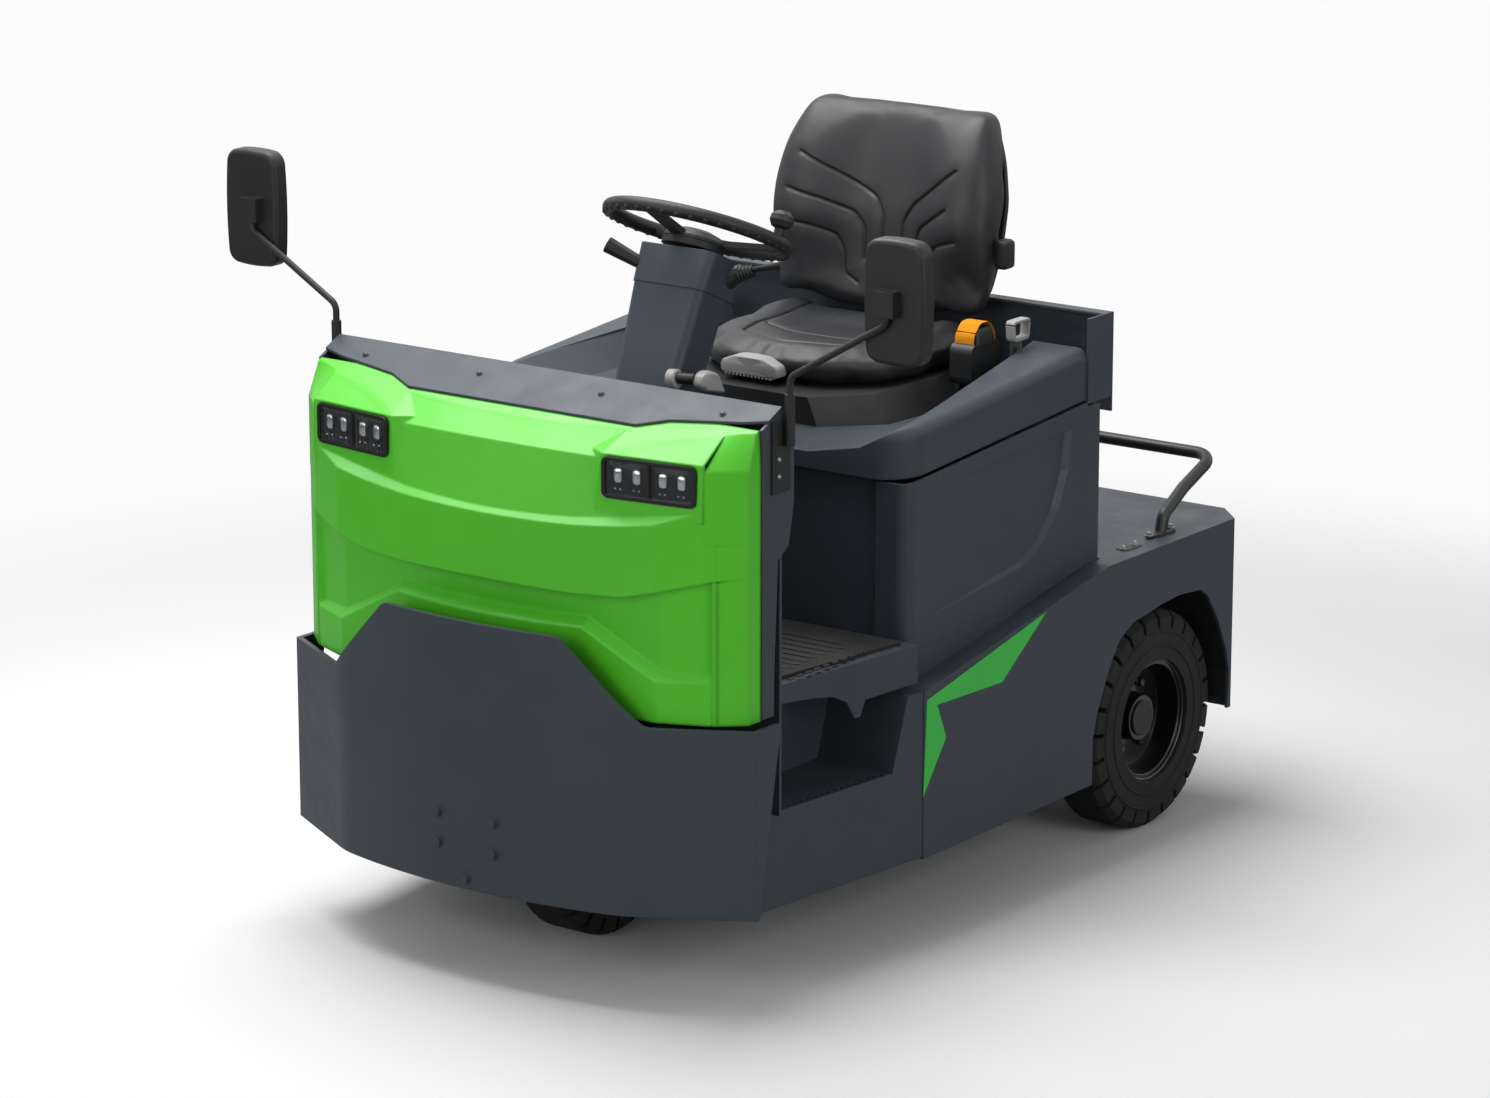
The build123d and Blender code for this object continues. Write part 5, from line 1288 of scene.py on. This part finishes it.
@dataclass(frozen=True)
class SideStripe:
    """Green foil stripe on each side skirt, a folded arrow of two arms by their corners' y and z.

    Here y counts from the dash plate's bolt line.
    """

    upper: tuple = ((0.446, 0.446), (0.830, 0.524), (0.687, 0.424), (0.478, 0.430))
    lower: tuple = ((0.446, 0.446), (0.478, 0.430), (0.507, 0.363), (0.436, 0.269))
    thick_m: float = 0.0006

    def build(self) -> None:
        """Lays the foil on both skirts."""
        _, high = span("side_skirt_left")
        arms = [slab(np.array(corners) - (DATUM_Y, 0), (high[0], 0, 0), (0, 1, 0), (0, 0, 1),
                     [(-0.0002, 1.0), (self.thick_m, 1.0)]) for corners in (self.upper, self.lower)]
        foil = Shell.joined(arms)
        add_piece("side_stripes", Shell.joined([foil, foil.mirrored()]), STRIPE_FOIL, Body.CHASSIS)


@dataclass(frozen=True)
class ColumnTrim:
    """Bellows of the travel lever, collar of the tilt lever and the wheel's finger bumps."""

    lean_deg: float = 24.0
    hub: tuple[float, float, float] = (0.0, 0.457, 1.236)
    rim_r: float = 0.162
    tube_r: float = 0.013
    first_bump_deg: float = 4.0
    bump_step_deg: float = 9.0
    bump: tuple = ((0.0, 0.0060), (0.0025, 0.0052), (0.0040, 0.0030), (0.0044, 0.0010))
    bellows_from: tuple[float, float, float] = (0.084, 0.458, 1.162)
    bellows_to: tuple[float, float, float] = (0.122, 0.460, 1.173)
    folds: int = 6
    collar_place: tuple[float, float, float] = (0.068, 0.301, 0.997)
    stub_y: float = 0.301
    stub_z: float = 0.998
    # The paddle's outline, y and z, and its levels over its width
    leaf: tuple = ((0.294, 0.992), (0.300, 1.010), (0.322, 1.016), (0.350, 1.006), (0.372, 0.966),
                   (0.360, 0.968), (0.344, 0.974), (0.318, 0.978))
    leaf_levels: tuple = ((0.001, 0.8), (0.004, 0.94), (0.009, 1.0), (0.018, 1.0), (0.023, 0.94),
                          (0.026, 0.78))

    def bellows(self) -> Shell:
        """Folds that taper from the housing to the lever's cone: r = r0 - t r1 + r2 cos(2 pi folds t).

        Returns:
            The closed shell.
        """
        start, end = row(*self.bellows_from), row(*self.bellows_to)
        reach = float(np.linalg.norm(end - start))
        share = np.linspace(0, 1, 7 * self.folds + 1)
        radius = 0.0165 - 0.007 * share + 0.0016 * np.cos(share * 2 * np.pi * self.folds)
        return turned(list(zip(share * reach, radius)), start, end - start, 28)

    def finger_bumps(self) -> Shell:
        """Small bumps under the rim, each a low dome on the tube's lower side.

        Returns:
            All bumps as one shell.
        """
        lean = math.radians(self.lean_deg)
        axis = np.array([0.0, math.sin(lean), math.cos(lean)])
        one = np.array([1.0, 0.0, 0.0])
        two = np.cross(axis, one)
        centre = row(*self.hub)
        bumps = []
        turn_deg = np.arange(self.first_bump_deg, self.first_bump_deg + 360, self.bump_step_deg)
        for angle in np.radians(turn_deg):
            way = math.cos(angle) * one + math.sin(angle) * two
            out = 0.62 * way - 0.78 * axis
            place = centre + self.rim_r * way + out * (self.tube_r - 0.002)
            bumps.append(turned(list(self.bump), place, tuple(out), 12))
        return Shell.joined(bumps)

    def build(self) -> None:
        """Builds the column's trim."""
        add_piece("lever_bellows", self.bellows(), BLACK_PLASTIC, Body.COLUMN,
                  crease_deg=180.0)
        add_piece("finger_bumps", self.finger_bumps(), BLACK_PLASTIC, Body.WHEEL)
        collar = turned([(-0.012, 0.0175), (0.004, 0.0175), (0.006, 0.015)], row(*self.collar_place),
                        (1, 0.08, 0.08), 28)
        add_piece("tilt_collar", collar, GREY_PLASTIC, Body.COLUMN)
        self.build_paddle()

    def build_paddle(self) -> None:
        """Leaf-shaped grey paddle on a black stub, in place of its plain solid."""
        low, high = span("tilt_lever")
        leaf = rounded(list(self.leaf), 90, 0.02) - (DATUM_Y, 0)
        paddle = slab(leaf, (high[0] - self.leaf_levels[-1][0], 0, 0), (0, 1, 0), (0, 0, 1),
                      list(self.leaf_levels))
        piece = add_piece("tilt_paddle", paddle, GREY_PLASTIC, Body.COLUMN)
        stub = turned([(0.0, 0.011), (high[0] - low[0] - 0.02, 0.0105)],
                      row(low[0], self.stub_y, self.stub_z), (1, 0.06, 0.06), 28)
        add_piece("tilt_stub", stub, BLACK_PLASTIC, Body.COLUMN)
        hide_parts("tilt_lever")


@dataclass(frozen=True)
class Softbox:
    """A square studio light that faces a point."""

    name: str
    place: tuple[float, float, float]
    aim: tuple[float, float, float]
    size_m: float
    power_w: float

    def build(self) -> None:
        """Hangs the light and turns it to its aim."""
        lamp = bpy.data.lights.new(self.name, "AREA")
        lamp.shape = "SQUARE"
        lamp.size = self.size_m
        lamp.energy = self.power_w
        holder = bpy.data.objects.new(self.name, lamp)
        bpy.context.scene.collection.objects.link(holder)
        holder.location = self.place
        holder.rotation_euler = (Vector(self.aim) - Vector(self.place)).to_track_quat("-Z", "Y").to_euler()


@dataclass(frozen=True)
class Studio:
    """White floor and backdrop, soft lights and the camera at the photograph's place."""

    camera_place: tuple[float, float, float] = (5.567, -6.985 - DATUM_Y, 3.059)
    azimuth_deg: float = 36.27
    pitch_deg: float = 14.58
    floor_half_m: float = 40.0
    fade_start_m: float = 1.8
    fade_end_m: float = 3.3
    floor_colour: str = "#F4F4F4"
    floor_bounce: str = "#B4B4B4"
    backdrop: str = "#FCFCFC"
    fill: float = 0.22
    boxes: tuple[Softbox, ...] = (
        Softbox("overhead_box", (-1.0, -0.1, 3.9), (0.0, 0.0, 0.5), 2.8, 165.0),
        Softbox("front_box", (-0.6, -5.6, 2.4), (0.0, -0.6, 0.7), 2.8, 68.0),
        Softbox("side_box", (5.2, -1.2, 2.2), (0.4, 0.2, 0.6), 2.8, 60.0),
    )

    def build_floor(self) -> None:
        """Lays the floor. It turns to plain white with distance, so it meets the backdrop unseen."""
        half = self.floor_half_m
        mesh = bpy.data.meshes.new("studio_floor")
        outline = [(-half, -half, 0), (half, -half, 0), (half, half, 0), (-half, half, 0)]
        mesh.from_pydata(outline, [], [(0, 1, 2, 3)])
        floor = bpy.data.objects.new("studio_floor", mesh)
        bpy.context.scene.collection.objects.link(floor)
        material = bpy.data.materials.new("matt_white_floor")
        material.use_nodes = True
        tree = material.node_tree
        tree.nodes.clear()
        place = add_node(tree, "TexCoord").outputs["Object"]
        reach = add_node(tree, "VectorMath", {0: place}, operation="LENGTH").outputs["Value"]
        fade = add_node(tree, "MapRange", {"Value": reach, "From Min": self.fade_start_m,
                                           "From Max": self.fade_end_m}, interpolation_type="SMOOTHSTEP")
        camera_ray = add_node(tree, "LightPath").outputs["Is Camera Ray"]
        share = add_node(tree, "Math", {0: fade.outputs["Result"], 1: camera_ray}, operation="MULTIPLY")
        shade = add_node(tree, "Mix", {0: camera_ray, 6: srgb(self.floor_bounce), 7: srgb(self.floor_colour)},
                         data_type="RGBA")
        matt = add_node(tree, "BsdfDiffuse", {"Color": shade.outputs[2]})
        white = add_node(tree, "Emission", {"Color": srgb(self.backdrop), "Strength": 1.0})
        mix = add_node(tree, "MixShader", {0: share.outputs["Value"], 1: matt.outputs["BSDF"],
                                           2: white.outputs["Emission"]})
        add_node(tree, "OutputMaterial", {"Surface": mix.outputs["Shader"]})
        mesh.materials.append(material)

    def build_world(self) -> None:
        """White backdrop to the eye and in gloss, a dimmer fill as light."""
        world = bpy.data.worlds.new("studio_backdrop")
        bpy.context.scene.world = world
        world.use_nodes = True
        tree = world.node_tree
        tree.nodes.clear()
        path = add_node(tree, "LightPath")
        gloss = add_node(tree, "Math", {0: path.outputs["Is Glossy Ray"],
                                        1: path.outputs["Is Transmission Ray"]}, operation="MAXIMUM")
        seen = add_node(tree, "Math", {0: path.outputs["Is Camera Ray"], 1: gloss.outputs["Value"]},
                        operation="MAXIMUM")
        fill = add_node(tree, "Background", {"Color": srgb("#FFFFFF"), "Strength": self.fill})
        plain = add_node(tree, "Background", {"Color": srgb(self.backdrop), "Strength": 1.0})
        mix = add_node(tree, "MixShader", {0: seen.outputs["Value"], 1: fill.outputs["Background"],
                                           2: plain.outputs["Background"]})
        add_node(tree, "OutputWorld", {"Surface": mix.outputs["Shader"]})

    def build_camera(self) -> None:
        """Sets the camera by its azimuth and pitch."""
        lens = bpy.data.cameras.new("photo_camera")
        lens.sensor_fit = "HORIZONTAL"
        lens.sensor_width = SENSOR_MM
        lens.lens = PHOTO_FOCAL_PX / PHOTO_WIDTH_PX * SENSOR_MM
        camera = bpy.data.objects.new("photo_camera", lens)
        bpy.context.scene.collection.objects.link(camera)
        camera.location = self.camera_place
        azimuth, pitch = math.radians(self.azimuth_deg), math.radians(self.pitch_deg)
        level = math.cos(pitch)
        ahead = Vector((-math.sin(azimuth) * level, math.cos(azimuth) * level, -math.sin(pitch)))
        camera.rotation_euler = ahead.to_track_quat("-Z", "Y").to_euler()
        bpy.context.scene.camera = camera

    def build(self) -> None:
        """Builds the whole studio."""
        self.build_floor()
        self.build_world()
        self.build_camera()
        for box in self.boxes:
            box.build()
        bpy.context.scene.view_settings.view_transform = "Standard"


def corners(box: tuple[Vector, Vector]) -> list[list[float]]:
    """The two corners of a box as plain lists."""
    return [[float(v) for v in corner] for corner in box]


def main() -> None:
    """Builds the studio and dresses the tractor, piece by piece."""
    logging.basicConfig(level=logging.INFO, format="%(message)s")
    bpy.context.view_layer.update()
    Studio().build()
    dress_frame()
    for part in (Seat(), Belt(), LampOptics(), Mirrors(), FloorMat(), SideStripe(), BatterySill(),
                 WheelTrim(), Bolts(), ColumnTrim()):
        part.build()
    bpy.context.view_layer.update()


if __name__ == "__main__":
    main()
